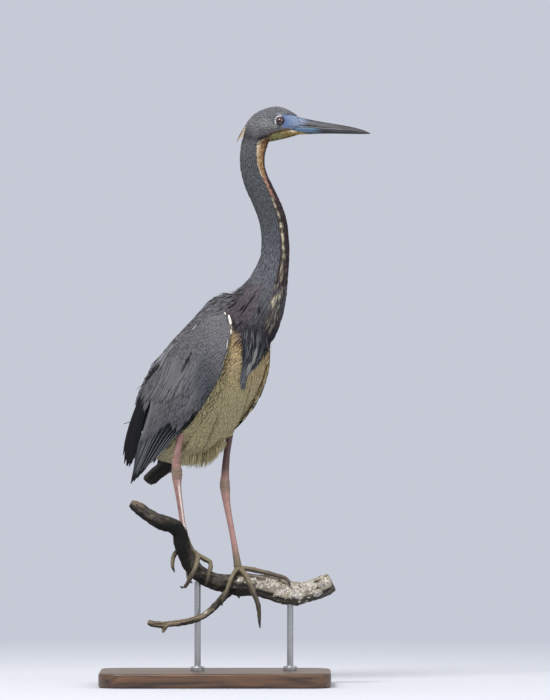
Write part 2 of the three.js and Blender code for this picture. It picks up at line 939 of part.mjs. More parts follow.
add("perch_branch", branch(0), "bark");
add("perch_twig", twig(0).subtract(branch(GAP)), "bark");
add("stand_base", base(), "base_wood");
RODS.forEach((at, i) => {
  add("stand_rod_" + (i + 1), rod(at, ROD.top).subtract(branchRoom), "steel");
});

export default heron;
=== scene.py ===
"""A museum model of a tricolored heron on its perch: skin, feathers, bill, eyes, legs, bark and stand.

Lengths are millimetres until a mesh is made, and +Z is up. The bird faces +X with its breast turned to -Y.
"""

import math

import bmesh
import bpy
import numpy as np
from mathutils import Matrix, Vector, noise
from mathutils.bvhtree import BVHTree


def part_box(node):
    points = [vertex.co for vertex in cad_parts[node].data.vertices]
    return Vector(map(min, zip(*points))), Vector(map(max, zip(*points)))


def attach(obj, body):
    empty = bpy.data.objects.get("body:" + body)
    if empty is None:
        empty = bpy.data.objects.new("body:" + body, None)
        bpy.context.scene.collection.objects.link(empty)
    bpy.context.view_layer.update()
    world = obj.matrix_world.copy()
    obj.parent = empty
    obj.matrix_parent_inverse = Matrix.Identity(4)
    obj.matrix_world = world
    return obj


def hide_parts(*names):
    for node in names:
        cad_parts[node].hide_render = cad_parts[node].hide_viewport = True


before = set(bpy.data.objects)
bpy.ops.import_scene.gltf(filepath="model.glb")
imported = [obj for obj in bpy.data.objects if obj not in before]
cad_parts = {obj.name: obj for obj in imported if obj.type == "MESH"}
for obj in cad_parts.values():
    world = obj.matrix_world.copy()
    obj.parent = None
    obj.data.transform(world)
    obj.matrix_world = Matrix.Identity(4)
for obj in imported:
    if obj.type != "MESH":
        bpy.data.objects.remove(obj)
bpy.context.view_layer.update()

MM = 0.001

# ---- directions and frames

BODY_YAW = math.radians(35)
BODY_PITCH = math.radians(50)
HEAD_YAW = math.radians(10)
BODY_AT = np.array((-16.0, 4.0, 372.0))
HEAD_AT = np.array((0.0, -27.0, 0.0))


def level(yaw):
    return np.array((math.cos(yaw), -math.sin(yaw), 0.0))


UP = np.array((0.0, 0.0, 1.0))
BODY_FORWARD = level(BODY_YAW) * math.cos(BODY_PITCH) + UP * math.sin(BODY_PITCH)
BODY_LEFT = np.cross(UP, level(BODY_YAW))
BODY_BACK = np.cross(BODY_FORWARD, BODY_LEFT)
BODY_AXES = np.array((BODY_FORWARD, BODY_LEFT, BODY_BACK))
HEAD_AXES = np.array((level(HEAD_YAW), np.cross(UP, level(HEAD_YAW)), UP))


def on_body(place):
    """Points given along the trunk, to the bird's left and towards its back."""
    return BODY_AT + np.asarray(place, float) @ BODY_AXES


def on_head(place):
    """Points given along the bill, to the bird's left and up."""
    return HEAD_AT + np.asarray(place, float) @ HEAD_AXES


def body_place(points):
    return (points - BODY_AT) @ BODY_AXES.T


def head_place(points):
    return (points - HEAD_AT) @ HEAD_AXES.T


def to_left(points):
    """How far points lie to the left of the trunk's middle plane."""
    return (points - BODY_AT) @ BODY_LEFT


def mirrored(vectors, at=BODY_AT):
    """Points on the other side of the trunk's middle plane, or directions where at is 0."""
    side = (vectors - at) @ BODY_LEFT
    return vectors - 2 * side[..., None] * BODY_LEFT


def right_side(points):
    """Points with those on the bird's left mirrored to its right."""
    return np.where(to_left(points)[:, None] > 0, mirrored(points), points)


# ---- small sums


def unit(vectors):
    size = np.linalg.norm(vectors, axis=-1, keepdims=True)
    return vectors / np.maximum(size, 1e-9)


def ease(low, high, value):
    """0 below low, 1 above high, and a smooth rise between."""
    t = np.clip((np.asarray(value, float) - low) / (high - low), 0, 1)
    return t * t * (3 - 2 * t)


def band(value, middle, half):
    """1 in the middle, fading away to both sides over about the half width."""
    return np.exp(-(((value - middle) / half) ** 2))


def arch(t):
    """0 at both ends and 1 half way."""
    return 4 * t * (1 - t)


def table(value, rows):
    """The second column of rows at a value of the first, which rises."""
    knots = np.array(rows, float)
    return np.interp(value, knots[:, 0], knots[:, 1])


def smooth_line(rows, count):
    """Rows spaced evenly along a smooth line through the ones given."""
    rows = np.asarray(rows, float)
    ends = np.vstack([2 * rows[0] - rows[1], rows, 2 * rows[-1] - rows[-2]])
    t = np.linspace(0, len(rows) - 1, count)
    i = np.minimum(t.astype(int), len(rows) - 2)
    f = (t - i)[:, None]
    a, b, c, d = (ends[i + k] for k in range(4))
    bend = (2 * a - 5 * b + 4 * c - d) * f * f
    twist = (3 * b - a - 3 * c + d) * f**3
    return 0.5 * (2 * b + (c - a) * f + bend + twist)


def paint(red, green, blue):
    """A colour as seen on screen, as the linear values that a surface needs."""
    c = np.array((red, green, blue)) / 255
    return np.where(c <= 0.04045, c / 12.92, ((c + 0.055) / 1.055) ** 2.4)


def mix(a, b, share):
    return a + (b - a) * np.asarray(share)[..., None]


def fade(value, rows):
    """A colour that changes along a value. Each row is the value and a colour."""
    knots = [row[0] for row in rows]
    return np.stack(
        [np.interp(value, knots, [row[1][k] for row in rows]) for k in range(3)], axis=-1
    )


def wander(points, scale, seed):
    """Smooth noise from -1 to 1 at each point. scale is the size of its patches."""
    shift = np.array((seed * 7.1, seed * 3.7, seed * 5.3))
    places = points / scale + shift
    return np.array([noise.noise(Vector(p)) for p in places])


def streaks(along, across, seed, scale=1.0):
    """Smooth noise over two measures of a surface."""
    return wander(np.column_stack([along, across, along * 0]), scale, seed)


# ---- the line that the coat follows

NECK_FRONT = level(math.radians(42))  # where the foreneck's stripe faces
SPINE = [
    (on_head((100, 0, 700)), -UP),
    (on_head((82, 0, 704)), -UP),
    (on_head((64, 0, 702)), -UP),
    ((51, -29, 692), NECK_FRONT - UP),
    ((47.5, -27, 678), NECK_FRONT - 0.25 * UP),
    ((46.5, -27, 662), NECK_FRONT),
    ((48, -27, 645), NECK_FRONT),
    ((53, -27, 628), NECK_FRONT),
    ((62, -27, 609), NECK_FRONT),
    ((71.8, -27, 584), NECK_FRONT),
    ((75.3, -28, 558), NECK_FRONT),
    ((74.5, -29, 533), NECK_FRONT),
    ((68, -31, 507), NECK_FRONT),
    ((58, -33, 479), NECK_FRONT - 0.3 * UP),
    ((45, -33, 451), NECK_FRONT - 0.6 * UP),
    (on_body((80, 0, -3)), -BODY_BACK),
    (on_body((45, 0, 0)), -BODY_BACK),
    (on_body((5, 0, 0)), -BODY_BACK),
    (on_body((-35, 0, 0)), -BODY_BACK),
    (on_body((-75, 0, 0)), -BODY_BACK),
    (on_body((-115, 0, 0)), -BODY_BACK),
]
spine_rows = smooth_line([np.hstack([at, unit(front)]) for at, front in SPINE], 180)
SPINE_AT = spine_rows[:, :3]
SPINE_WAY = unit(np.gradient(SPINE_AT, axis=0))
spine_front = spine_rows[:, 3:]
SPINE_FRONT = unit(
    spine_front - np.sum(spine_front * SPINE_WAY, axis=1, keepdims=True) * SPINE_WAY
)
SPINE_SIDE = np.cross(SPINE_WAY, SPINE_FRONT)  # to the bird's right
SPINE_LENGTH = np.concatenate(
    [[0], np.cumsum(np.linalg.norm(np.diff(SPINE_AT, axis=0), axis=1))]
)
CHUNK = 8000


def on_spine(points):
    """How far down the spine each point is, its turn in degrees to the bird's right, and its station."""
    reach, turn, station = [], [], []
    for start in range(0, len(points), CHUNK):
        some = points[start : start + CHUNK]
        gap = ((some[:, None] - SPINE_AT[None]) ** 2).sum(axis=2)
        i = gap.argmin(axis=1)
        out = some - SPINE_AT[i]
        reach.append(SPINE_LENGTH[i] + np.sum(out * SPINE_WAY[i], axis=1).clip(-3, 3))
        across = np.sum(out * SPINE_SIDE[i], axis=1)
        turn.append(np.degrees(np.arctan2(across, np.sum(out * SPINE_FRONT[i], axis=1))))
        station.append(i)
    return np.concatenate(reach), np.concatenate(turn), np.concatenate(station)


def bake_place(points):
    """Where points lie on the unwrap of the skin: round it from the back, and down it from the bill."""
    reach, turn, _ = on_spine(points)
    return np.column_stack([0.5 + turn / 370, 0.01 + 0.98 * reach / SPINE_LENGTH[-1]])


# ---- markings, shared by skin and coat

CROWN = paint(112, 114, 121)
CHEEK = paint(122, 123, 127)
CHEEK_LOW = paint(92, 87, 95)
EAR_PATCH = paint(138, 142, 140)
FOREHEAD = paint(98, 99, 106)
MALAR = paint(52, 48, 50)
BROW = paint(58, 68, 92)
CHIN = paint(150, 148, 102)
CHIN_OCHRE = paint(150, 126, 76)
CHIN_WHITE = paint(236, 224, 196)
THROAT = paint(112, 88, 58)
NAPE = paint(84, 79, 86)
STRIPE_TAN = paint(184, 146, 104)
STRIPE_PALE = paint(214, 196, 168)
STRIPE_BROWN = paint(96, 68, 46)
STRIPE_ROSE = paint(186, 142, 124)
STRIPE_CREAM = paint(232, 222, 192)
MAROON = paint(64, 48, 50)
PURPLE = paint(98, 87, 93)
BELLY_UPPER = paint(184, 164, 124)
BELLY = paint(180, 168, 128)
VENT = paint(188, 178, 142)
# The colour of the painted shade along the belly's crease and its fold.
CREASE_SHADOW = paint(104, 90, 60)
RUFOUS = paint(150, 108, 76)
SLATE_BACK = paint(103, 102, 107)
LINING = paint(206, 190, 148)
LORE = paint(86, 110, 150)
LORE_PALE = paint(112, 127, 154)
LORE_DARK = paint(60, 62, 84)
LID = paint(214, 218, 228)

NECK_SLATE = [
    (400, paint(76, 76, 83)),
    (440, paint(82, 80, 88)),
    (480, paint(100, 101, 109)),
    (520, paint(105, 108, 116)),
    (560, paint(92, 96, 103)),
    (600, paint(88, 92, 97)),
    (640, paint(92, 95, 100)),
    (672, paint(98, 101, 106)),
    (690, paint(110, 112, 117)),
]
STRIPE_HALF = [  # height up the neck, and the half width in degrees of the foreneck's stripe
    (590, 6), (620, 6.5), (632, 8), (638, 13), (644, 18.5), (652, 21.5), (662, 24), (690, 27),
]
# The near black of the painted shadow in the gaps between the locks.
SLOT_SHADOW = paint(30, 30, 36)
NECK_SLOTS = [  # gaps between the locks at the foot of the neck, painted dark as shadow: X and Z at both ends, and a width
    ((24, 487), (37, 490.5), 1.8),
    ((16, 472), (27, 479), 2.0),
    ((29, 467), (38, 476.5), 2.2),
    ((52, 493), (30, 460), 2.0),
    ((56, 474.5), (53, 463.7), 2.0),
    ((35, 457), (27, 447), 2.2),
    ((21.5, 461), (26, 439), 4.2),
]
MAROON_EDGE = [(400, 28), (520, 27), (600, 24), (612, 14), (622, 9), (640, 11), (650, 22)]
BEADS = [  # pale marks below the stripe: height, half length, turn, half width, strength
    (607.5, 2.4, 10, 5, 0.8),
    (600.5, 2.8, 12, 6, 1.0),
    (589, 4.8, 13, 6, 0.7),
    (575.5, 3.6, 14, 8, 0.8),
    (561.5, 7.0, 13, 6, 1.0),
    (547.5, 3.6, 13, 6, 0.95),
    (537, 4.0, 10, 8, 0.5),
    (522, 8.0, 15, 4.5, 0.45),
    (509, 5.0, 8, 4, 0.4),
    (486, 6.0, 6, 6, 0.7),
    (479, 7.5, 21, 6, 0.8),
    (463, 6.5, 5, 9, 0.85),
    (446, 6.0, 4, 6, 0.7),
]
CHIN_LINE = [  # along the head and up: where the grey cheek ends and the chin begins
    (52, 680.5), (58, 682.4), (67.5, 684.9), (75, 688.6), (84.5, 691.3), (94.6, 693.6),
    (106, 693.4),
]
EYE_AT = (84.2, 705.7)
EYE_OUT = 7.6
EYE_RADIUS = 6.2
LORE_TOP = [(86, 711.6), (92, 712.8), (98, 712.6), (104, 711.2), (110, 708.8)]
LORE_BOTTOM = [(86, 699.0), (90, 696.9), (99, 696.4), (106, 692.6)]
GAPE = 699.0  # the height of the dark line that runs from the mouth towards the eye


def eye_distance(place):
    return np.hypot(place[:, 0] - EYE_AT[0], place[:, 2] - EYE_AT[1])


def lore_share(place):
    """How far a point of the head is bare blue skin, from its place on the head."""
    at, up = place[:, 0], place[:, 2]
    inside = ease(86.5, 88, at)
    inside = inside * ease(0.6, -0.4, up - table(at, LORE_TOP))
    return inside * ease(-0.6, 0.4, up - table(at, LORE_BOTTOM))


def chin_markings(at, side, up, line):
    """The chin: brown at the throat, then olive, ochre, and a white spot below the gape."""
    colour = fade(
        at,
        [(62, THROAT), (68, THROAT), (76, CHIN), (86, CHIN), (93, CHIN_OCHRE), (104, CHIN_OCHRE)],
    )
    streak = wander(np.column_stack([at / 3.5, side, up - line]), 1.1, 12)
    colour = mix(colour, THROAT, 0.6 * ease(0.0, 0.6, streak))
    white = band(at, 99.5, 3.4) * band(up, line - 0.7, 1.7)
    return mix(colour, CHIN_WHITE, white)


def lore_markings(at, up, eye):
    streak = streaks(at / 5, up / 1.2, 13)
    colour = mix(LORE, LORE_PALE, ease(93, 102, at + 5 * streak))
    glint = band(up, table(at, LORE_TOP) - 2.4, 1.3) * ease(88, 92, at)
    colour = mix(colour, LORE_PALE, 0.7 * glint)
    low = ease(GAPE + 1, GAPE - 1, up)
    colour = mix(colour, LORE_PALE * 0.75, 0.7 * low)
    mouth = band(up, GAPE, 0.8) * ease(91, 97, at)
    colour = mix(colour, LORE_DARK, 0.6 * mouth)
    return mix(colour, LORE_DARK, 0.8 * ease(7.4, 5.6, eye))


def head_markings(points):
    place = head_place(points)
    at, side, up = place.T
    colour = mix(CHEEK, CROWN, ease(704, 716, up + 0.12 * (at - 70)))
    colour = mix(colour, FOREHEAD, ease(88, 97, at) * ease(706, 712, up))
    ear = band(at, 64, 11) * band(up, 701, 7)
    colour = mix(colour, EAR_PATCH, 0.8 * ear)
    colour = mix(colour, NAPE, ease(56, 42, at) * ease(708, 690, up) * 0.6)
    line = table(at, CHIN_LINE)
    low_cheek = ease(699, 694, up) * ease(52, 62, at)
    colour = mix(colour, CHEEK_LOW, 0.6 * low_cheek)
    thick = table(at, [(56, 2.6), (90, 1.8)])
    malar = band(up, line + 1.3, thick) * ease(52, 58, at) * ease(100, 92, at)
    malar_colour = mix(MALAR, THROAT * 0.6, ease(66, 78, at))
    colour = mix(colour, malar_colour, malar)
    eye = eye_distance(place)
    under_eye = band(at, 84.5, 3) * band(up, 698.8, 2.2)
    colour = mix(colour, MALAR, 0.75 * under_eye)
    over_eye = band(at, 82, 2.2) * band(up, 714.4, 1.1)
    colour = mix(colour, LID, 0.4 * over_eye)
    brow = band(up, table(at, LORE_TOP) + 0.9, 0.8) * ease(85, 88, at)
    colour = mix(colour, BROW, 0.85 * brow)
    chin = ease(0.6, -0.4, up - line) * ease(56, 61, at)
    colour = mix(colour, chin_markings(at, side, up, line), chin)
    colour = mix(colour, lore_markings(at, up, eye), lore_share(place))
    lid = ease(4.6, 5.0, eye) * ease(6.7, 6.1, eye)
    pale = ease(0.0, 0.9, (up - EYE_AT[1]) / 6 - (at - EYE_AT[0]) / 4.5)
    lid_colour = mix(LORE_DARK, LID, pale)
    return mix(colour, lid_colour, lid * (np.abs(side) > 8))


def stripe_share(points, turn):
    """How far a point is in the tan stripe of the upper foreneck."""
    half = table(points[:, 2], STRIPE_HALF)
    ragged = 3 * wander(points, 3.0, 1)
    return ease(1.5, -1.5, np.abs(turn) + ragged - half) * ease(606, 616, points[:, 2])


def stripe_markings(points, reach, turn):
    """Tan with cream beads along its right edge, brown on its left, and rosy where it narrows."""
    height = points[:, 2]
    across = turn / table(height, STRIPE_HALF)
    beads = streaks(reach, turn * 0.12, 2, 3.2)
    spots = wander(points, 2.4, 4)
    tan = mix(STRIPE_TAN, STRIPE_PALE, ease(0.1, 0.55, across) * ease(-0.35, 0.1, beads))
    tan = mix(tan, STRIPE_BROWN, 0.85 * ease(-0.3, -0.95, across))
    tan = mix(tan, STRIPE_BROWN, 0.85 * ease(0.12, 0.4, spots) * ease(0.7, 0.2, across))
    rose = mix(STRIPE_ROSE, STRIPE_PALE, 0.6 * ease(0.1, 0.5, beads))
    return mix(tan, rose, ease(641, 630, height))


# Z and X where the neck's purple ends and the mantle begins.
MANTLE_FRONT = [(440, 12), (467, 15), (489, 30), (497.5, 37), (508, 46)]


def slot_shadowed(colour, points, slots):
    """Paints shadow into the gaps between the locks on the bird's right side."""
    near = ease(-6, -10, to_left(points))
    return mix(colour, SLOT_SHADOW, 0.9 * in_gaps(points, slots) * near)


def mantle_share(points):
    """How far a point lies behind the neck, where the mantle's grey begins."""
    seen = right_side(points)
    behind = table(seen[:, 2], MANTLE_FRONT) - seen[:, 0]
    _, turn, _ = on_spine(points)
    return ease(-2, 3, behind) * ease(510, 500, seen[:, 2]) * ease(60, 80, np.abs(turn))


def neck_markings(points, reach, turn):
    height = points[:, 2]
    colour = fade(height, NECK_SLATE)
    streak = streaks(reach / 11, turn / 6, 3)
    colour = colour * (1 + 0.13 * streak)[:, None]
    colour = mix(colour, NAPE, 0.6 * ease(105, 150, np.abs(turn)))
    purple = ease(512, 470, height) * ease(52, 78, np.abs(turn)) * (1 - mantle_share(points))
    colour = mix(colour, PURPLE, 0.75 * purple)
    edge = table(height, MAROON_EDGE) + 2.5 * wander(points, 3.0, 5)
    maroon = ease(edge + 1.5, edge - 1.5, turn) * ease(-64, -54, turn) * ease(648, 636, height)
    colour = mix(colour, MAROON, 0.85 * maroon)
    flecks = streaks(reach / 3.2, turn * 0.3, 6, 1.6)
    flecks = ease(0.1, 0.4, flecks) * ease(535, 505, height) * ease(-24, -10, turn)
    colour = mix(colour, STRIPE_CREAM * 0.7, 0.45 * flecks * ease(34, 26, turn))
    for high, length, middle, width, strength in BEADS:
        far = ((height - high) / length) ** 2 + ((turn - middle) / width) ** 2
        colour = mix(colour, STRIPE_CREAM, strength * np.exp(-(far**1.5)))
    colour = mix(colour, mantle_colour(points), mantle_share(points))
    return mix(colour, stripe_markings(points, reach, turn), stripe_share(points, turn))


def trunk_markings(points, turn):
    at, left, back = body_place(points).T
    colour = mix(BELLY, BELLY_UPPER, ease(20, 75, at))
    colour = mix(colour, VENT, ease(-50, -95, at))
    patch = band(at, 94, 7) * band(np.abs(left), 29, 7) * (back < 6)
    colour = mix(colour, RUFOUS, 0.6 * patch)
    # Painted shade: a darker line down the belly where its shape turns, and a painted shadow where the
    # belly meets the far wing.
    middle = table(at, [(-75, -10), (20, -30)])
    crease_shadow = band(left, middle, 1.8) * ease(14, -8, at) * ease(-82, -66, at)
    colour = mix(colour, CREASE_SHADOW, 0.6 * crease_shadow * (back < 0))
    fold_shadow = in_gaps(points, [((51, 402), (38, 350), 1.6), ((40, 356), (31, 330), 1.4)])
    colour = mix(colour, CREASE_SHADOW, 0.7 * fold_shadow * (left > -2))
    sides = ease(96, 108, np.abs(turn))
    return mix(colour, SLATE_BACK, sides)


def markings(points):
    """The colour of skin and feathers at each point, in linear values."""
    reach, turn, _ = on_spine(points)
    at, _, back = body_place(points).T
    colour = neck_markings(points, reach, turn)
    on_trunk = ease(110, 92, at + 0.25 * back + 14 * np.cos(np.radians(turn)))
    colour = mix(colour, trunk_markings(points, turn), on_trunk)
    head_at, _, up = head_place(points).T
    skull = ease(676, 684, up + 0.25 * (head_at - 45))
    throat = ease(55, 66, head_at) * ease(672, 680, up)
    stripe = stripe_share(points, turn) * ease(67, 61, head_at)
    stripe = stripe * ease(-0.2, -1.4, up - table(head_at, CHIN_LINE))
    head = np.maximum(skull, throat) * (up > 660) * (1 - stripe)
    colour = mix(colour, head_markings(points), head)
    return slot_shadowed(colour, points, NECK_SLOTS)


# ---- meshes


def add_copy(whole, part):
    """Adds one bmesh to another, and frees it."""
    mesh = bpy.data.meshes.new("copy")
    part.to_mesh(mesh)
    part.free()
    whole.from_mesh(mesh)
    bpy.data.meshes.remove(mesh)


def welded(names, grow):
    """Merged copies of CAD nodes in one bmesh, each grown a little so that they meet."""
    whole = bmesh.new()
    for name in names:
        part = bmesh.new()
        part.from_mesh(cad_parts[name].data)
        bmesh.ops.remove_doubles(part, verts=part.verts, dist=1e-5)
        part.normal_update()
        for v in part.verts:
            v.co += v.normal * grow * MM
        add_copy(whole, part)
    return whole


def reshaped(whole, shape_with):
    """What an object's modifiers make of a bmesh. shape_with gives them to the object."""
    mesh = bpy.data.meshes.new("mould")
    whole.to_mesh(mesh)
    whole.free()
    body = bpy.data.objects.new("mould", mesh)
    bpy.context.scene.collection.objects.link(body)
    shape_with(body)
    graph = bpy.context.evaluated_depsgraph_get()
    made = bmesh.new()
    made.from_mesh(body.evaluated_get(graph).to_mesh())
    bpy.data.objects.remove(body)
    bpy.data.meshes.remove(mesh)
    return made


def moulded(whole, voxel, smoothing):
    """One closed, evenly meshed surface round everything in a bmesh."""

    def shape_with(body):
        remesh = body.modifiers.new("Mould", "REMESH")
        remesh.mode = "VOXEL"
        remesh.voxel_size = voxel * MM
        relax = body.modifiers.new("Relax", "SMOOTH")
        relax.factor = 0.5
        relax.iterations = smoothing

    return reshaped(whole, shape_with)


def thinned(whole, share, below):
    """The same surface with that share of its faces, all of the loss below a height."""

    def shape_with(body):
        low = body.vertex_groups.new(name="low")
        low.add([v.index for v in body.data.vertices if v.co.z < below * MM], 1.0, "REPLACE")
        fewer = body.modifiers.new("Fewer", "DECIMATE")
        fewer.ratio = share
        fewer.vertex_group = low.name

    return reshaped(whole, shape_with)


def places(bm):
    """A bmesh's points in millimetres, and its normals."""
    bm.normal_update()
    at = np.array([v.co for v in bm.verts]) / MM
    return at, np.array([v.normal for v in bm.verts])


def put(bm, points):
    for v, place in zip(bm.verts, points * MM):
        v.co = place


def finer(bm, wanted):
    """Halves the edges whose ends are both wanted."""
    at, _ = places(bm)
    chosen = wanted(at)
    edges = [e for e in bm.edges if chosen[e.verts[0].index] and chosen[e.verts[1].index]]
    bmesh.ops.subdivide_edges(bm, edges=edges, cuts=1, use_grid_fill=True)
    bm.verts.index_update()
    bm.verts.ensure_lookup_table()


def colour_points(mesh, colours):
    attribute = mesh.attributes.new("Markings", "FLOAT_COLOR", "POINT")
    values = np.ones((len(colours), 4), np.float32)
    values[:, :3] = colours
    attribute.data.foreach_set("color", values.ravel())


def finished(name, mesh, material, replaced=()):
    """A finished piece that rides with the bird and stands for CAD nodes."""
    mesh.name = name
    piece = bpy.data.objects.new(name, mesh)
    bpy.context.scene.collection.objects.link(piece)
    mesh.materials.clear()
    mesh.materials.append(material)
    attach(piece, "root")
    if replaced:
        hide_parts(*replaced)
    return piece


def from_bmesh(name, bm, smooth=True):
    mesh = bpy.data.meshes.new(name)
    for face in bm.faces:
        face.smooth = smooth
    bm.to_mesh(mesh)
    bm.free()
    return mesh


def marked(name, bm, colours, material, replaced):
    """A finished piece from a bmesh, with a colour at each point."""
    mesh = from_bmesh(name, bm)
    colour_points(mesh, colours)
    return finished(name, mesh, material, replaced)


# ---- a surface that feathers are laid on


class Surface:
    """A mesh in millimetres with smooth normals, and the nearest place on it."""

    def __init__(self, points, faces, normals):
        self.points = points
        self.faces = faces
        self.normals = normals
        self.centres = points[faces].mean(axis=1)
        self.tree = BVHTree.FromPolygons(points.tolist(), faces.tolist())
        self.face_normals = unit(normals[faces].mean(axis=1))

    def settle(self, points):
        found = [self.tree.find_nearest(p) for p in points.tolist()]
        at = np.array([hit[0] for hit in found])
        face = self.faces[[hit[2] for hit in found]]
        start, end, third = (self.points[face[:, k]] for k in range(3))
        a, b, c = end - start, third - start, at - start
        aa, ab, bb = ((p * q).sum(axis=1) for p, q in ((a, a), (a, b), (b, b)))
        ca, cb = (c * a).sum(axis=1), (c * b).sum(axis=1)
        size = np.maximum(aa * bb - ab * ab, 1e-9)
        v, w = (bb * ca - ab * cb) / size, (aa * cb - ab * ca) / size
        share = np.stack([1 - v - w, v, w], axis=1)
        return at, unit(np.einsum("nk,nkx->nx", share, self.normals[face]))


def surface_of(bm):
    bmesh.ops.triangulate(bm, faces=bm.faces)
    at, normals = places(bm)
    faces = np.array([[v.index for v in f.verts] for f in bm.faces])
    return Surface(at, faces, normals)


FAR_SIDE = 300.0
NEAR_SIDE = -40.0  # about where the bird's right side lies
TO_FAR_SIDE = np.array((0.0, 1.0, 0.0))


def seen_at(surface, rows):
    """Places on a surface at X and Z, as seen from the bird's right, with the normals there."""
    flat = np.asarray(rows, float).reshape(-1, 2)
    at, normal = [], []
    last = NEAR_SIDE
    for x, z in flat:
        hit = surface.tree.ray_cast(Vector((x, -FAR_SIDE, z)), Vector((0, 1, 0)), 2 * FAR_SIDE)
        if hit[0] is None:
            guess = Vector((x, last, z))
            for _ in range(3):
                hit = surface.tree.find_nearest(guess)
                guess.y = hit[0].y
            hit = (guess, None, hit[2])
        last = hit[0].y
        at.append(hit[0])
        normal.append(surface.face_normals[hit[2]])
    shape = np.asarray(rows).shape[:-1] + (3,)
    return np.array(at).reshape(shape), np.array(normal).reshape(shape)


def roots_on(surface, spacing, seed):
    """Points spread over a surface, about one to each cell.

    spacing is the cell's size at each face, or 0 where it stays bare.
    """
    rng = np.random.default_rng(seed)
    corners = surface.points[surface.faces]
    edges = corners[:, 1:] - corners[:, :1]
    area = np.linalg.norm(np.cross(edges[:, 0], edges[:, 1]), axis=1) / 2
    often = np.where(spacing > 0, 4 * area / np.maximum(spacing, 0.1) ** 2, 0)
    chosen = np.repeat(np.arange(len(area)), rng.poisson(often))
    a, b = np.sqrt(rng.random(len(chosen))), rng.random(len(chosen))
    share = np.column_stack([1 - a, a * (1 - b), a * b])
    points = np.einsum("nk,nkx->nx", share, corners[chosen])
    step = np.round(4 * np.log2(spacing[chosen]))
    cell = np.floor(points / 2 ** (step / 4)[:, None])
    _, first = np.unique(np.column_stack([step, cell]), axis=0, return_index=True)
    return points[np.sort(first)]


def in_gaps(points, gaps):
    """How far each point lies in one of the narrow gaps, given by X and Z at both ends and a width."""
    seen = points[:, [0, 2]]
    share = np.zeros(len(points))
    for start, end, width in gaps:
        way = np.subtract(end, start)
        t = np.clip((seen - start) @ way / (way @ way), 0, 1)
        off = np.linalg.norm(seen - start - t[:, None] * way, axis=1)
        reach = width * (0.25 + 3 * t * (1 - t))
        share = np.maximum(share, ease(reach, 0.4 * reach, off))
    return share


# ---- feathers

OUTLINES = {  # the half width from the root to the tip
    "down": [(0, 0.5), (0.3, 0.95), (0.65, 1), (0.88, 0.55), (1, 0.04)],
    "round": [(0, 0.45), (0.25, 0.85), (0.6, 1), (0.82, 0.86), (0.93, 0.55), (1, 0.1)],
    "lance": [(0, 0.6), (0.3, 1), (0.6, 0.8), (0.85, 0.4), (1, 0.03)],
    "flight": [(0, 0.3), (0.15, 0.85), (0.7, 1), (0.88, 0.8), (0.96, 0.5), (1, 0.12)],
    "square": [(0, 0.4), (0.5, 0.9), (0.9, 1), (0.97, 0.8), (1, 0.45)],
}

BAKE_PATCH = 0.0015  # half the size of a feather's patch on the unwrap


def lay(surface, roots, lie, length, rings, rng, scatter=6.0):
    """Walks each feather's line over a surface. It runs on straight where the surface ends."""
    at, normal = surface.settle(roots)
    turn = np.radians(rng.normal(0, scatter, len(roots)))[:, None]
    step = (length / (rings - 1))[:, None]
    line, normals = [at], [normal]
    for _ in range(rings - 1):
        way = lie(at)
        way = unit(way - np.sum(way * normal, axis=1, keepdims=True) * normal)
        way = way * np.cos(turn) + np.cross(normal, way) * np.sin(turn)
        ahead = at + way * step
        found, found_normal = surface.settle(ahead)
        near = np.linalg.norm(found - ahead, axis=1, keepdims=True) < 0.4 * step
        at = np.where(near, found, ahead)
        normal = np.where(near, found_normal, normal)
        line.append(at)
        normals.append(normal)
    return np.stack(line, axis=1), np.stack(normals, axis=1)


def raised(line, normals, depth, lift, rng, uneven=0.25):
    """Sinks the roots by the coat's depth and lifts the tips, each feather a little differently."""
    t = np.linspace(0, 1, line.shape[1])[None, :, None]
    depth = np.asarray(depth, float).reshape(-1, 1, 1)
    lift = np.asarray(lift, float).reshape(-1, 1, 1)
    sway = rng.normal(0, uneven, (len(line), 1, 1)).clip(-2 * uneven, 2 * uneven) * depth
    height = -depth * (1 - t) ** 1.2 + lift * t**2 + sway * t
    return line + normals * height


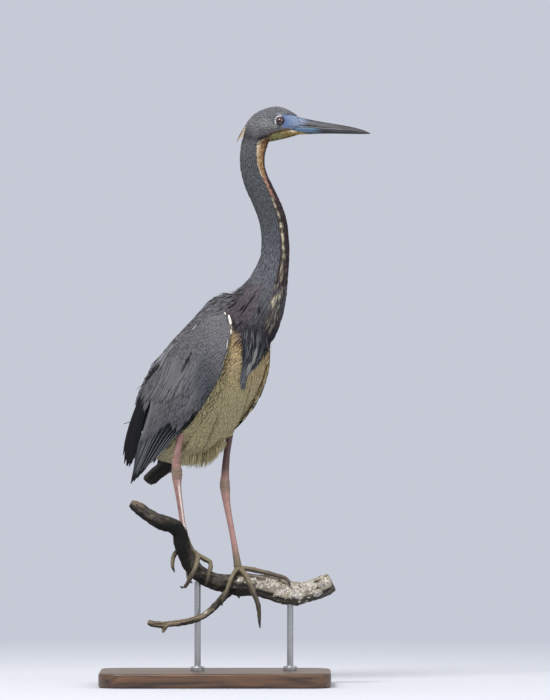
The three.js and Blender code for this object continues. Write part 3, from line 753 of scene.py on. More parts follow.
class Coat:
    """Feathers gathered into one joined mesh, each a thin closed vane."""

    def __init__(self):
        self.points, self.faces, self.sizes, self.smooth = [], [], [], []
        self.colours, self.vane, self.bake = [], [], []
        self.count = 0

    def add(self, line, normals, width, outline, colour, bake, **look):
        """Adds one vane along each line.

        line and normals are by feather and ring, colour by feather or by feather and ring, and
        width and bake by feather.
        """
        across = look.get("across", 3)
        thick = look.get("thick", 0.3)
        camber = look.get("camber", 0.1)
        rings = line.shape[1]
        n = len(line)
        t = np.linspace(0, 1, rings)
        x = np.linspace(-1, 1, across)
        tangent = unit(np.gradient(line, axis=1))
        side = unit(np.cross(tangent, normals))
        over = np.cross(side, tangent)
        half = 0.5 * np.asarray(width)[:, None] * table(t, OUTLINES[outline])[None]
        roll = look.get("roll", np.zeros(n))[:, None, None]
        side, over = side + over * roll, over - side * roll
        offset = half[:, :, None, None] * x[None, None, :, None] * side[:, :, None]
        body = np.minimum(thick, half)
        rise = body[:, :, None] * (1 - x**2) - camber * half[:, :, None] * x**2
        points = line[:, :, None] + offset + rise[..., None] * over[:, :, None]
        shade = look.get("shade", lambda t, x: np.ones((len(t), len(x))))(t, x)
        colour = np.asarray(colour)
        if colour.ndim == 2:
            colour = np.repeat(colour[:, None], rings, axis=1)
        colours = colour[:, :, None] * shade[None, ..., None]
        if "tint" in look:
            share, towards = look["tint"]
            colours = mix(colours, towards, np.broadcast_to(share(t, x), (n, rings, across)))
        length = np.linalg.norm(np.diff(line, axis=1), axis=2).sum(axis=1)
        vane = np.stack(
            [
                np.broadcast_to(x * 0.5 + 0.5, (n, rings, across)),
                t[None, :, None] * length[:, None, None] / 20 + np.zeros((n, rings, across)),
            ],
            axis=-1,
        )
        spread = np.stack(np.meshgrid(t * 2 - 1, x, indexing="ij")[::-1], axis=-1) * BAKE_PATCH
        self.points.append(points.reshape(-1, 3))
        self.colours.append(np.clip(colours, 0, 1).reshape(-1, 3))
        self.vane.append(vane.reshape(-1, 2))
        self.bake.append((bake[:, None, None] + spread[None]).reshape(-1, 2))
        self._close(n, rings, across)

    def _close(self, n, rings, across):
        ring = np.arange(rings - 1)[:, None] * across
        i = np.arange(across)
        j = (i + 1) % across
        walls = np.stack([ring + i, ring + j, ring + j + across, ring + i + across], axis=-1)
        walls = walls.reshape(-1, 4)
        start = self.count + np.arange(n)[:, None, None] * rings * across
        self.faces.append((walls[None] + start).ravel())
        self.sizes.append(np.full(n * len(walls), 4))
        self.smooth.append(np.tile(np.tile(i < across - 1, rings - 1), n))
        caps = np.stack([i[::-1], i + (rings - 1) * across])
        self.faces.append((caps[None] + start).ravel())
        self.sizes.append(np.full(n * 2, across))
        self.smooth.append(np.zeros(n * 2, bool))
        self.count += n * rings * across

    def mesh(self, name):
        mesh = bpy.data.meshes.new(name)
        corners, sizes = np.concatenate(self.faces), np.concatenate(self.sizes)
        mesh.vertices.add(self.count)
        mesh.vertices.foreach_set("co", (np.concatenate(self.points) * MM).astype(np.float32).ravel())
        mesh.loops.add(len(corners))
        mesh.loops.foreach_set("vertex_index", corners.astype(np.int32))
        mesh.polygons.add(len(sizes))
        starts = np.concatenate([[0], np.cumsum(sizes)[:-1]])
        mesh.polygons.foreach_set("loop_start", starts.astype(np.int32))
        mesh.polygons.foreach_set("loop_total", sizes.astype(np.int32))
        mesh.polygons.foreach_set("use_smooth", np.concatenate(self.smooth))
        colour_points(mesh, np.concatenate(self.colours))
        for layer, rows in (("Vane", self.vane), ("OFBake", self.bake)):
            mesh.uv_layers.new(name=layer)
            places = np.concatenate(rows)[corners].astype(np.float32)
            mesh.uv_layers[layer].data.foreach_set("uv", places.ravel())
        mesh.update(calc_edges=True)
        mesh.validate()
        return mesh


# ---- finishes


def add(tree, kind, inputs=None, **settings):
    """Adds a shader node. inputs maps a socket's name or number to a value or to another node's socket."""
    made = tree.nodes.new("ShaderNode" + kind)
    for key, value in settings.items():
        setattr(made, key, value)
    for key, value in (inputs or {}).items():
        if isinstance(value, bpy.types.NodeSocket):
            tree.links.new(value, made.inputs[key])
        else:
            made.inputs[key].default_value = value
    return made


def finish(name, shader_values):
    """A material with one shader, whose constant values are set on its own sockets."""
    material = bpy.data.materials.new(name)
    material.use_nodes = True
    tree = material.node_tree
    tree.nodes.clear()
    shader = add(tree, "BsdfPrincipled", shader_values)
    output = add(tree, "OutputMaterial")
    tree.links.new(shader.outputs[0], output.inputs[0])
    return material, tree, shader


def sums(tree, operation, *values, clamp=False):
    inputs = dict(enumerate(values))
    return add(tree, "Math", inputs, operation=operation, use_clamp=clamp).outputs[0]


def grain(tree, scale, detail=3.0, stretch=None, rough=0.55):
    """Noise on the piece's own coordinates, in metres, from 0 to 1."""
    where = add(tree, "TexCoord").outputs["Object"]
    if stretch:
        where = add(tree, "Mapping", {0: where, 3: stretch}).outputs[0]
    noise_node = add(
        tree, "TexNoise", {"Vector": where, "Scale": scale, "Detail": detail, "Roughness": rough}
    )
    return noise_node.outputs[0]


def ranged(tree, value, low, high):
    return add(tree, "MapRange", {0: value, 1: 0.25, 2: 0.75, 3: low, 4: high}).outputs[0]


def scaled(tree, colour, factor):
    return add(tree, "VectorMath", {0: colour, 3: factor}, operation="SCALE").outputs[0]


def ramped(tree, value, *stops):
    """A colour that changes along a value. Each stop is a place from 0 to 1 and a colour."""
    ramp = add(tree, "ValToRGB", {0: value})
    elements = ramp.color_ramp.elements
    while len(elements) < len(stops):
        elements.new(0.5)
    for element, (position, colour) in zip(elements, stops):
        element.position = position
        element.color = (*colour, 1)
    return ramp.outputs[0]


def unevenly_rough(tree, shader, pattern, low, high):
    tree.links.new(ranged(tree, pattern, low, high), shader.inputs["Roughness"])


def tinted(tree, shader, *factors):
    """The markings, made lighter and darker by the factors."""
    colour = add(tree, "Attribute", attribute_name="Markings").outputs["Color"]
    for factor in factors:
        colour = scaled(tree, colour, factor)
    tree.links.new(colour, shader.inputs["Base Color"])


def bumped(tree, shader, height, strength, distance):
    bump = add(tree, "Bump", {"Height": height, "Strength": strength, "Distance": distance * MM})
    tree.links.new(bump.outputs[0], shader.inputs["Normal"])


def coat_finish(name, mottle, barbs=26.0, roughness=0.7, sheen=0.04, relief=0.3):
    """Feather vanes: a shaft, barbs that slant from it, and soft mottling. mottle is how strong that is."""
    material, tree, shader = finish(
        name,
        {
            "Roughness": roughness,
            "Specular IOR Level": 0.1,
            "Sheen Weight": sheen,
            "Sheen Roughness": 0.45,
        },
    )
    uv = add(tree, "UVMap", uv_map="Vane").outputs[0]
    parts = add(tree, "SeparateXYZ", {0: uv})
    from_shaft = sums(tree, "ABSOLUTE", sums(tree, "SUBTRACT", parts.outputs[0], 0.5))
    slanted = sums(tree, "SUBTRACT", parts.outputs[1], sums(tree, "MULTIPLY", from_shaft, 0.35))
    ripple = sums(tree, "SINE", sums(tree, "MULTIPLY", slanted, barbs * 20))
    shaft = sums(tree, "LESS_THAN", from_shaft, 0.035)
    cloud = ranged(tree, grain(tree, 260, 4), 1 - mottle, 1 + mottle)
    fine = sums(tree, "MULTIPLY_ADD", ripple, 0.05, 1.0)
    darker = sums(tree, "MULTIPLY_ADD", shaft, -0.16, 1.0)
    tinted(tree, shader, cloud, fine, darker)
    height = sums(tree, "ADD", sums(tree, "MULTIPLY", ripple, 0.5), sums(tree, "MULTIPLY", shaft, 1.2))
    bumped(tree, shader, height, relief, 0.12)
    return material


def skin_finish():
    material, tree, shader = finish(
        "heron_skin", {"Roughness": 0.5, "Specular IOR Level": 0.4, "Subsurface Weight": 0.05}
    )
    cloud = ranged(tree, grain(tree, 700, 4), 0.84, 1.14)
    tinted(tree, shader, cloud)
    bumped(tree, shader, grain(tree, 1800), 0.4, 0.25)
    return material


def bill_finish():
    material, tree, shader = finish("bill_horn", {"Specular IOR Level": 0.4, "Coat Weight": 0.05})
    streak = grain(tree, 420, 4, (0.06, 1.0, 1.0))
    tinted(tree, shader, ranged(tree, streak, 0.8, 1.22))
    unevenly_rough(tree, shader, grain(tree, 900), 0.4, 0.6)
    bumped(tree, shader, streak, 0.35, 0.2)
    return material


def leg_finish():
    material, tree, shader = finish("leg_scales", {"Specular IOR Level": 0.5})
    where = add(tree, "TexCoord").outputs["Object"]
    scales = add(tree, "TexVoronoi", {"Vector": where, "Scale": 620.0}, feature="DISTANCE_TO_EDGE")
    edge = add(tree, "MapRange", {0: scales.outputs[0], 1: 0.0, 2: 0.16}).outputs[0]
    shade = sums(tree, "MULTIPLY_ADD", edge, 0.2, 0.82)
    tinted(tree, shader, shade, ranged(tree, grain(tree, 300, 4), 0.85, 1.15))
    unevenly_rough(tree, shader, grain(tree, 500), 0.34, 0.56)
    bumped(tree, shader, edge, 0.5, 0.25)
    return material


def claw_finish():
    material, tree, shader = finish("claw_horn", {"Specular IOR Level": 0.5})
    tinted(tree, shader, ranged(tree, grain(tree, 900), 0.75, 1.25))
    unevenly_rough(tree, shader, grain(tree, 700), 0.3, 0.5)
    bumped(tree, shader, grain(tree, 1500), 0.3, 0.1)
    return material


def bark_finish():
    material, tree, shader = finish("bark", {"Specular IOR Level": 0.25})
    rough = grain(tree, 330, 6, rough=0.65)
    tinted(tree, shader, ranged(tree, rough, 0.55, 1.45))
    unevenly_rough(tree, shader, grain(tree, 200), 0.82, 0.98)
    bumped(tree, shader, grain(tree, 900, 6, rough=0.7), 0.8, 0.9)
    return material


def wood_finish():
    """Dark oiled walnut, with its grain along the stand."""
    material, tree, shader = finish(
        "walnut", {"Specular IOR Level": 0.5, "Coat Weight": 0.2, "Coat Roughness": 0.3}
    )
    where = add(tree, "TexCoord").outputs["Object"]
    long = add(tree, "Mapping", {0: where, 3: (1.2, 14.0, 14.0)}).outputs[0]
    rings = add(tree, "TexNoise", {"Vector": long, "Scale": 9.0, "Detail": 5.0, "Distortion": 0.8})
    pores = add(tree, "Mapping", {0: where, 3: (3.0, 90.0, 90.0)}).outputs[0]
    pore = add(tree, "TexNoise", {"Vector": pores, "Scale": 12.0, "Detail": 2.0}).outputs[0]
    brown = ramped(tree, rings.outputs[0], (0.32, paint(48, 32, 24)), (0.7, paint(108, 76, 54)))
    colour = scaled(tree, brown, ranged(tree, pore, 0.78, 1.08))
    tree.links.new(colour, shader.inputs["Base Color"])
    unevenly_rough(tree, shader, pore, 0.5, 0.36)
    bumped(tree, shader, pore, 0.25, 0.15)
    return material


def steel_finish():
    """Round steel, brushed round its axis."""
    material, tree, shader = finish("brushed_steel", {"Metallic": 1.0})
    brushed = grain(tree, 60, 4, (1.0, 1.0, 60.0))
    grey = ramped(tree, brushed, (0.0, paint(150, 153, 158)), (1.0, paint(196, 198, 202)))
    tree.links.new(grey, shader.inputs["Base Color"])
    unevenly_rough(tree, shader, brushed, 0.24, 0.42)
    bumped(tree, shader, brushed, 0.15, 0.05)
    return material


IRIS = [  # from the pupil's middle to the rim
    (0.0, paint(6, 5, 6)),
    (0.41, paint(8, 5, 6)),
    (0.46, paint(64, 18, 20)),
    (0.66, paint(82, 26, 29)),
    (0.84, paint(50, 16, 22)),
    (0.92, paint(28, 14, 22)),
]


def eye_finish():
    """A glass eye: black pupil, dark red iris with fine spokes, dark rim, under a clear wet coat."""
    material, tree, shader = finish(
        "glass_eye",
        {"Roughness": 0.12, "Specular IOR Level": 0.6, "Coat Weight": 1.0, "Coat Roughness": 0.02},
    )
    ring = add(tree, "Attribute", attribute_name="Ring").outputs["Fac"]
    spokes = ranged(tree, grain(tree, 1500), -0.05, 0.05)
    colour = ramped(tree, sums(tree, "ADD", ring, spokes), *IRIS)
    tree.links.new(colour, shader.inputs["Base Color"])
    return material


# ---- skin

FLESH = ["head", "neck_upper", "neck_middle", "neck_lower", "trunk", "thigh_right", "thigh_left"]
WINGS = ["wing_right", "wing_left"]
EYES = ["eye_right", "eye_left"]
JOIN = 0.4  # how far each copy is grown, so that the cuts between the nodes close
SKIN_VOXEL = 1.7
SKIN_SMOOTHING = 8
SKIN_SHARE = 0.42  # how many of its faces the skin keeps
SKIN_FINE_ABOVE = 630  # the height above which it keeps them all
SKIN_INSET = 0.3  # how far in it lies at most, as a share of the flesh's thickness
THICKEST = 60.0
WING_SKIN_END = -78  # along the trunk. Beyond it a wing is feathers only
# The hollow behind the neck's foot: its X and Z, its reach and its depth.
NAPE_FILL = ((27, 489), 10, 4.0)


def filled(bm):
    """Fills the hollow between the neck's foot and the back."""
    (x, z), reach, depth = NAPE_FILL
    at, normals = places(bm)
    hollow = band(at[:, 0], x, reach) * band(at[:, 2], z, reach)
    back = ease(0.1, 0.7, normals @ BODY_BACK)
    put(bm, at + normals * (depth * hollow * back)[:, None])
    return bm


def flesh_surface(winged):
    """The outer surface of the coat as one closed shape, with the folded wings or without them."""
    body = welded(FLESH + EYES, JOIN)
    if winged:
        wings = welded(WINGS, 0)
        cut = bmesh.ops.bisect_plane(
            wings,
            geom=wings.verts[:] + wings.edges[:] + wings.faces[:],
            plane_co=on_body((WING_SKIN_END, 0, 0)) * MM,
            plane_no=-BODY_FORWARD,
            clear_outer=True,
        )
        rim = [g for g in cut["geom_cut"] if isinstance(g, bmesh.types.BMEdge)]
        bmesh.ops.holes_fill(wings, edges=rim)
        add_copy(body, wings)
    return filled(moulded(body, SKIN_VOXEL, SKIN_SMOOTHING))


def coat_depth(points):
    """How far the skin lies inside the coat."""
    up = points[:, 2]
    depth = table(up, [(400, 1.7), (450, 2.4), (480, 2.2), (520, 1.6), (650, 1.3), (690, 0.9)])
    at, _, height = head_place(points).T
    bare = ease(82, 88, at) * ease(680, 690, height)
    return depth * (1 - 0.75 * bare)


LID_EDGE = 5.0
LID_OUTER = 6.3
LID_REACH = 9.5


def with_lids(points):
    """Opens the skin round each eye, with a raised lid that lies on the eyeball."""
    place = head_place(points)
    ring = eye_distance(place)
    side = np.sign(place[:, 1])
    out = np.abs(place[:, 1])
    ball = EYE_OUT + np.sqrt(np.maximum(EYE_RADIUS**2 - np.minimum(ring, 6.1) ** 2, 0.3))
    lid = ball + 0.9 * ease(4.7, 5.2, ring) - 0.5
    lid = lid + 0.25 * band(ring, 5.6, 0.45) - 0.2 * ease(5.2, 4.6, ring)
    crest = EYE_OUT + math.sqrt(EYE_RADIUS**2 - LID_EDGE**2) + 0.7
    lid = np.where(ring > 5.6, crest - 0.25 * ease(5.6, 6.6, ring), lid)
    share = ease(LID_REACH, LID_OUTER, ring) * (out > 6)
    place[:, 1] = side * (out + (lid - out) * share)
    return on_head(place)


def near_face(points):
    place = head_place(points)
    return (place[:, 0] > 66) & (place[:, 2] > 676)


def near_eye(points):
    place = head_place(points)
    return (eye_distance(place) < 11) & (np.abs(place[:, 1]) > 5)


def on_skull(points):
    return points[:, 2] > 668


def wing_faces(points, normals):
    """Which points lie on a folded wing's outer face, and which on its inner one."""
    left = to_left(points) > 0
    points = right_side(points)
    normals = np.where(left[:, None], mirrored(normals, 0), normals)
    at, outward = WING_SURFACE.settle(points)
    gap = np.linalg.norm(points - at, axis=1)
    facing = np.sum(normals * outward, axis=1)
    rim = np.where(left, 0.6, 0.1)
    return (gap < 6) & (facing > rim), (gap < 15) & (facing < rim)


def skin_piece(outer):
    """The skin: the outer surface drawn in by the coat's depth, with lids and bare lores."""
    bm = thinned(outer.copy(), SKIN_SHARE, SKIN_FINE_ABOVE)
    for part in (on_skull, near_face, near_eye):
        finer(bm, part)
    at, normals = places(bm)
    tree = BVHTree.FromBMesh(bm)
    thickness = []
    for p, n in zip(at * MM, normals):
        hit = tree.ray_cast(Vector(p - n * 0.3 * MM), Vector(-n), THICKEST * MM)
        thickness.append(THICKEST if hit[3] is None else hit[3] / MM)
    inset = np.minimum(coat_depth(at), SKIN_INSET * np.array(thickness))
    over, under = wing_faces(at, normals)
    at = with_lids(at - normals * inset[:, None])
    put(bm, at)
    bake = bake_place(at)
    colours = markings(at)
    along = body_place(at)[:, 0]
    colours[over] = mix(wing_colour(at[over]), FLIGHT_BLACK, ease(-24, -34, along[over]))
    colours[under] = mix(LINING, FLIGHT_BLACK * 1.5, ease(-30, -38, along[under]))
    mesh = from_bmesh("skin", bm)
    colour_points(mesh, colours)
    layer = mesh.uv_layers.new(name="OFBake")
    corners = np.empty(len(mesh.loops), np.int32)
    mesh.loops.foreach_get("vertex_index", corners)
    starts = np.empty(len(mesh.polygons), np.int32)
    mesh.polygons.foreach_get("loop_start", starts)
    uv = bake[corners]
    first = np.repeat(uv[starts, 0], np.diff(np.append(starts, len(corners))))
    uv[:, 0] += np.round(first - uv[:, 0])  # a face across the seam stays in one piece
    layer.data.foreach_set("uv", uv.astype(np.float32).ravel())
    return finished("skin", mesh, skin_finish(), FLESH + WINGS)


# ---- the folded wing's surface

# Along the trunk: the lower edge, the outermost line and the upper edge, each out and back.
WING = [
    (110, (31, 2), (36, 16), (27, 38)),
    (102, (31, -4), (37, 12), (27, 38)),
    (92, (41, -19), (50, 11), (31, 46.5)),
    (72, (49, -32), (59, 7), (30, 50.5)),
    (45, (55, -40), (66, 6), (26, 57.5)),
    (10, (60, -44), (69, 7), (21, 64)),
    (-25, (59, -43), (68, 9), (18, 67)),
    (-58, (52, -37), (61, 12), (14, 65)),
    (-88, (44, -28), (50, 16), (11, 57)),
    (-122, (34, -15), (35, 19), (8, 45)),
    (-145, (23, -4), (29, 13), (7, 38)),
    (-172, (11, 3), (14, 11), (5, 30)),
]
WING_ALONG = 110
WING_ACROSS = 26


def wing_surface():
    """The right wing's outer surface, out to the tips of its longest feathers."""
    rows = np.array([[at, *low, *mid, *high] for at, low, mid, high in WING], float)
    rows = smooth_line(rows, WING_ALONG)
    v = np.linspace(0.0, 1.02, WING_ACROSS)[None, :, None]
    low, mid, high = (rows[:, None, 1 + 2 * k : 3 + 2 * k] for k in range(3))
    place = 2 * (v - 0.5) * (v - 1) * low - 4 * v * (v - 1) * mid + 2 * v * (v - 0.5) * high
    at = np.broadcast_to(rows[:, None, :1], (WING_ALONG, WING_ACROSS, 1))
    grid = on_body(np.concatenate([at, -place[..., :1], place[..., 1:]], axis=2))
    along, across = np.gradient(grid, axis=0), np.gradient(grid, axis=1)
    normals = unit(np.cross(across, along))
    outwards = np.sign(np.mean(normals @ -BODY_LEFT))
    index = np.arange(WING_ALONG * WING_ACROSS).reshape(WING_ALONG, WING_ACROSS)
    corners = index[:-1, :-1], index[1:, :-1], index[1:, 1:], index[:-1, 1:]
    faces = np.stack([corners[k] for k in (0, 1, 2, 0, 2, 3)], axis=-1).reshape(-1, 3)
    return Surface(grid.reshape(-1, 3), faces, outwards * normals.reshape(-1, 3))


# The lie of the wing's feathers as seen from the side: X, Z, and degrees below level towards the tail.
WING_LIE = [
    (-12, 456, 48),
    (-50, 424, 44),
    (-78, 400, 46),
    (4, 440, 60),
    (-18, 405, 66),
    (-45, 372, 72),
    (2, 388, 64),
    (-32, 336, 56),
    (-78, 340, 74),
    (-110, 310, 68),
    (-80, 290, 55),
]


def wing_lie(points):
    rows = np.array(WING_LIE, float)
    gap = (points[:, None, 0] - rows[:, 0]) ** 2 + (points[:, None, 2] - rows[:, 1]) ** 2
    weight = 1 / (gap + 60)
    angle = np.radians((weight * rows[:, 2]).sum(axis=1) / weight.sum(axis=1))
    return np.column_stack([-np.cos(angle), np.zeros(len(points)), -np.sin(angle)])


def under_wing(surface):
    """Which of a surface's faces a folded wing lies over, there and a feather's length further down."""
    covered = np.ones(len(surface.centres), bool)
    way = body_lie(surface.centres)
    normals = surface.face_normals
    side = unit(np.cross(way, normals))
    for down, across in ((0, 0), (18, 0), (6, 9), (6, -9)):
        at = surface.centres + way * down + side * across + normals
        hit = np.zeros(len(at), bool)
        for start, towards in ((at, normals), (mirrored(at), mirrored(normals, 0))):
            rays = zip(start.tolist(), towards.tolist())
            hit |= [WING_SURFACE.tree.ray_cast(Vector(p), Vector(n), 45)[0] is not None for p, n in rays]
        covered &= hit
    return covered


# ---- the coat

THIGHS = [
    (np.array((-22.0, -18.0, 352.0)), np.array((-41.5, -32.5, 316.0))),
    (np.array((8.0, 6.0, 352.0)), np.array((16.2, 11.5, 311.0))),
]


def thigh_gap(points, hip, knee):
    """How far points are from a thigh's middle line."""
    axis = knee - hip
    share = np.clip((points - hip) @ axis / (axis @ axis), 0, 1)
    return np.linalg.norm(points - (hip + share[:, None] * axis), axis=1)


def body_lie(points):
    """Down the spine's line, and down each thigh."""
    _, _, station = on_spine(points)
    way = SPINE_WAY[station]
    for hip, knee in THIGHS:
        near = ease(28, 20, thigh_gap(points, hip, knee)) * ease(346, 330, points[:, 2])
        way = mix(way, unit(knee - hip), near)
    return way


def uneven(rng, n, amount):
    return 1 + amount * rng.normal(0, 1, n).clip(-2, 2)


def toned(line, colour, rng, amount):
    """A colour at each ring of each feather, with each feather a little lighter or darker."""
    rings = colour(line.reshape(-1, 3)).reshape(line.shape)
    return rings * uneven(rng, len(line), amount)[:, None, None]


def cover(coat, surface, roots, rng, **kind):
    """Adds one feather at each root, of a kind given by its sizes in millimetres."""
    n = len(roots)
    length = kind["length"] * uneven(rng, n, 0.12)
    width = kind["width"] * uneven(rng, n, 0.1)
    line, normals = lay(surface, roots, body_lie, length, kind["rings"], rng, kind.get("scatter", 6))
    line = raised(line, normals, kind["depth"], kind["lift"], rng, kind.get("uneven", 0.2))
    colour = toned(line, kind.get("colour", markings), rng, kind.get("tone", 0.05))
    look = {key: kind[key] for key in ("across", "thick", "camber", "shade") if key in kind}
    look["roll"] = rng.normal(0, kind.get("roll", 0.08), n)
    coat.add(line, normals, width, kind["outline"], colour, bake_place(roots), **look)


def coated(name, coat, feathers, replaced=()):
    return finished(name, coat.mesh(name), COATS[feathers], replaced)


def root_to_tip(base, tip):
    """A vane that goes from one tone at its root to another at its tip."""
    return lambda t, x: np.broadcast_to((base + (tip - base) * t)[:, None], (len(t), len(x)))


def edged(root, tip, edge):
    """One tone at the root, another at the tip, and the vane's edges made lighter or darker."""

    def shade(t, x):
        along = root + (tip - root) * t[:, None]
        return along * (1 + (edge - 1) * np.abs(x)[None] ** 2)

    return shade


def head_coat():
    rng = np.random.default_rng(11)
    place = head_place(OUTER.centres)
    at, _, up = place.T
    bare = lore_share(place) > 0.5
    bare |= eye_distance(place) < 6.7
    bare |= (at > 101) & (up > table(at, CHIN_LINE)) & (up < table(at, LORE_TOP))
    bare |= (at > 109) | (OUTER.centres[:, 2] < 668)
    spacing = np.where(bare, 0, table(at, [(40, 1.55), (70, 1.25), (90, 1.0)]))
    roots = roots_on(OUTER, spacing, 12)
    size = table(head_place(roots)[:, 0], [(40, 1.4), (70, 1.1), (96, 0.75)])
    coat = Coat()
    cover(
        coat, OUTER, roots, rng,
        length=5.2 * size, width=1.15 * size, rings=4, depth=0.85, lift=0.1, outline="down",
        thick=0.18, scatter=6, tone=0.06, shade=root_to_tip(0.85, 1.08),
    )
    return coated("head_feathers", coat, "fine")


def neck_coat(low, high, name, seed):
    rng = np.random.default_rng(seed)
    up = BODY.centres[:, 2]
    _, turn, _ = on_spine(BODY.centres)
    wanted = (up > low) & (up <= high) & ~BODY.covered
    wanted &= (np.abs(turn) < 100) | (up > 466)
    wanted &= mantle_share(BODY.centres) < 0.5
    size = table(up, [(420, 2.6), (500, 2.1), (560, 1.75), (680, 1.5)])
    roots = roots_on(BODY, np.where(wanted, size, 0), seed + 1)
    up = roots[:, 2]
    size = table(up, [(420, 1.7), (500, 1.35), (560, 1.0), (680, 0.8)])
    _, turn, _ = on_spine(roots)
    front = ease(34, 12, np.abs(turn - 5)) * ease(616, 596, up)
    rear = ease(95, 130, np.abs(turn)) * ease(524, 510, up)
    coat = Coat()
    cover(
        coat, BODY, roots, rng,
        length=13.5 * size, width=1.7 * size, rings=6, depth=1.4 * size,
        lift=0.15 + 1.1 * front * rng.random(len(roots)) + 3.0 * rear, outline="down",
        thick=0.22, camber=0.05, scatter=3, tone=0.05, shade=root_to_tip(0.88, 1.05),
    )
    return coated(name, coat, "fine")


# The belly's lowest feathers hang loose between the legs: root and tip as X and Z seen from the side.
BELLY_FRINGE = {
    "roots": [(12, 308), (2, 301), (-10, 293), (-34, 290)],
    "tips": [(13, 299), (1, 284), (-14, 273.5), (-37, 274)],
    "count": 320,
    "rings": 6,
    "width": 1.0,
}


def belly_fringe(coat, rng):
    n, rings = BELLY_FRINGE["count"], BELLY_FRINGE["rings"]
    loose = rng.normal(0, 1, (2, n, 2))
    roots = smooth_line(BELLY_FRINGE["roots"], n) + loose[0] * 2.0
    tips = smooth_line(BELLY_FRINGE["tips"], n) + loose[1] * 1.5
    t = np.linspace(0, 1, rings)[None, :, None]
    start, normals = seen_at(BODY, roots)
    start = start + TO_FAR_SIDE * rng.uniform(0, 9, (n, 1))
    fall = np.insert(tips - roots, 1, 0.0, axis=1)
    line = start[:, None] + fall[:, None] * t
    line = line - TO_FAR_SIDE * 1.5 * arch(t)
    colour = markings(line[:, 2]) * 0.97 * uneven(rng, n, 0.03)[:, None]
    coat.add(
        line, np.repeat(normals[:, None], rings, axis=1), np.full(n, BELLY_FRINGE["width"]),
        "lance", colour, bake_place(start), thick=0.18, camber=0.02, roll=rng.normal(0, 0.15, n),
    )


def belly_coat():
    rng = np.random.default_rng(31)
    _, turn, _ = on_spine(BODY.centres)
    wanted = (BODY.centres[:, 2] <= 447) & (np.abs(turn) < 118) & ~BODY.covered
    for hip, knee in THIGHS:
        wanted &= (thigh_gap(BODY.centres, hip, knee) > 15) | (BODY.centres[:, 2] > 335)
    roots = roots_on(BODY, np.where(wanted, 2.65, 0), 32)
    at = body_place(roots)[:, 0]
    size = table(at, [(-110, 1.25), (-60, 1.05), (20, 1.0), (90, 0.8)])
    coat = Coat()
    cover(
        coat, BODY, roots, rng,
        length=20 * size, width=4.4 * size, rings=7, depth=1.2, lift=0.05, outline="down",
        thick=0.05, camber=0.0, scatter=2, uneven=0.04, tone=0.02, roll=0.01,
    )
    belly_fringe(coat, rng)
    return coated("belly_feathers", coat, "soft")


MANTLE = paint(100, 99, 105)
MANTLE_PALE = paint(124, 124, 130)
MANTLE_DARK = paint(76, 75, 80)
MANTLE_EDGE = [  # X and Z along the mantle's lower edge, where it lies over the wing
    (-84, 398), (-80, 401), (-69, 409), (-56, 421.6), (-42, 436), (-20, 453), (-7, 461.5),
    (13, 465.5),
]


def mantle_colour(points):
    x, y, z = points.T
    streak = wander(np.column_stack([(x + z) / 18, y / 3, (x - z) / 5]), 1.0, 5)
    colour = mix(MANTLE, MANTLE_PALE, ease(-25, -60, points[:, 0]))
    colour = mix(colour, MANTLE_DARK, ease(-0.1, 0.6, streak))
    return slot_shadowed(colour, points, NECK_SLOTS[:3])


def back_coat():
    """The mantle, whose feathers lie over the upper edges of the wings, and the rump's smaller ones."""
    rng = np.random.default_rng(41)
    centres = OUTER.centres
    at, left, back = body_place(centres).T
    _, turn, _ = on_spine(centres)
    seen = right_side(centres)
    above = seen[:, 2] > table(seen[:, 0], MANTLE_EDGE)
    wanted = (np.abs(turn) > 96) & (centres[:, 2] <= 474) & (at > -45) & (back > 12)
    wanted |= (mantle_share(centres) > 0.4) & (centres[:, 2] > 466) & (centres[:, 2] < 507)
    wanted &= above | (np.abs(left) < 28)
    coat = Coat()
    roots = roots_on(OUTER, np.where(wanted, 3.2, 0), 42)
    size = table(body_place(roots)[:, 0], [(-40, 1.15), (-20, 1.3), (60, 1.0), (110, 0.8)])
    fill = table(roots[:, 2], [(474, 0.9), (486, 0.9), (494, 3.0), (506, 4.5)])
    cover(
        coat, OUTER, roots, rng,
        length=27 * size, width=4.6 * size, rings=7, across=5, depth=1.0, lift=fill,
        outline="down", thick=0.2, camber=0.04, scatter=5, uneven=0.12, tone=0.06, roll=0.03,
        colour=mantle_colour, shade=edged(0.92, 1.03, 0.98),
    )
    at, _, back = body_place(BODY.centres).T
    _, turn, _ = on_spine(BODY.centres)
    rump = (at > -104) & (at < -24) & (back > 8) & (np.abs(turn) > 96)
    roots = roots_on(BODY, np.where(rump, 3.2, 0), 43)
    cover(
        coat, BODY, roots, rng,
        length=13, width=4.2, rings=5, depth=2.2, lift=0.1, outline="round", thick=0.2,
        camber=0.04, uneven=0.1, colour=mantle_colour, shade=edged(0.85, 1.04, 0.95),
    )
    return coated("mantle_feathers", coat, "vane")


def thigh_coat():
    rng = np.random.default_rng(51)
    near = np.zeros(len(BODY.centres), bool)
    for hip, knee in THIGHS:
        near |= (thigh_gap(BODY.centres, hip, knee) < 20) & (BODY.centres[:, 2] > knee[2] + 10)
    spacing = np.where(near & (BODY.centres[:, 2] < 345) & ~BODY.covered, 1.8, 0)
    roots = roots_on(BODY, spacing, 52)
    coat = Coat()
    cover(
        coat, BODY, roots, rng,
        length=7, width=2.0, rings=4, depth=1.2, lift=0.25, outline="down", thick=0.18,
        camber=0.03, scatter=8, tone=0.04, roll=0.06, shade=root_to_tip(0.95, 1.02),
    )
    return coated("thigh_feathers", coat, "soft")


FAR_RIM = [  # the far wing's dark edge, beyond the belly: X and Z at both ends, and a width
    ((69, 424), (68.8, 400), 0.8),
    ((68.8, 402), (63.8, 367), 0.9),
    ((64, 368), (48, 351), 1.0),
    ((48, 352), (29.5, 327), 2.0),
]
RIM_DARK = paint(58, 60, 66)


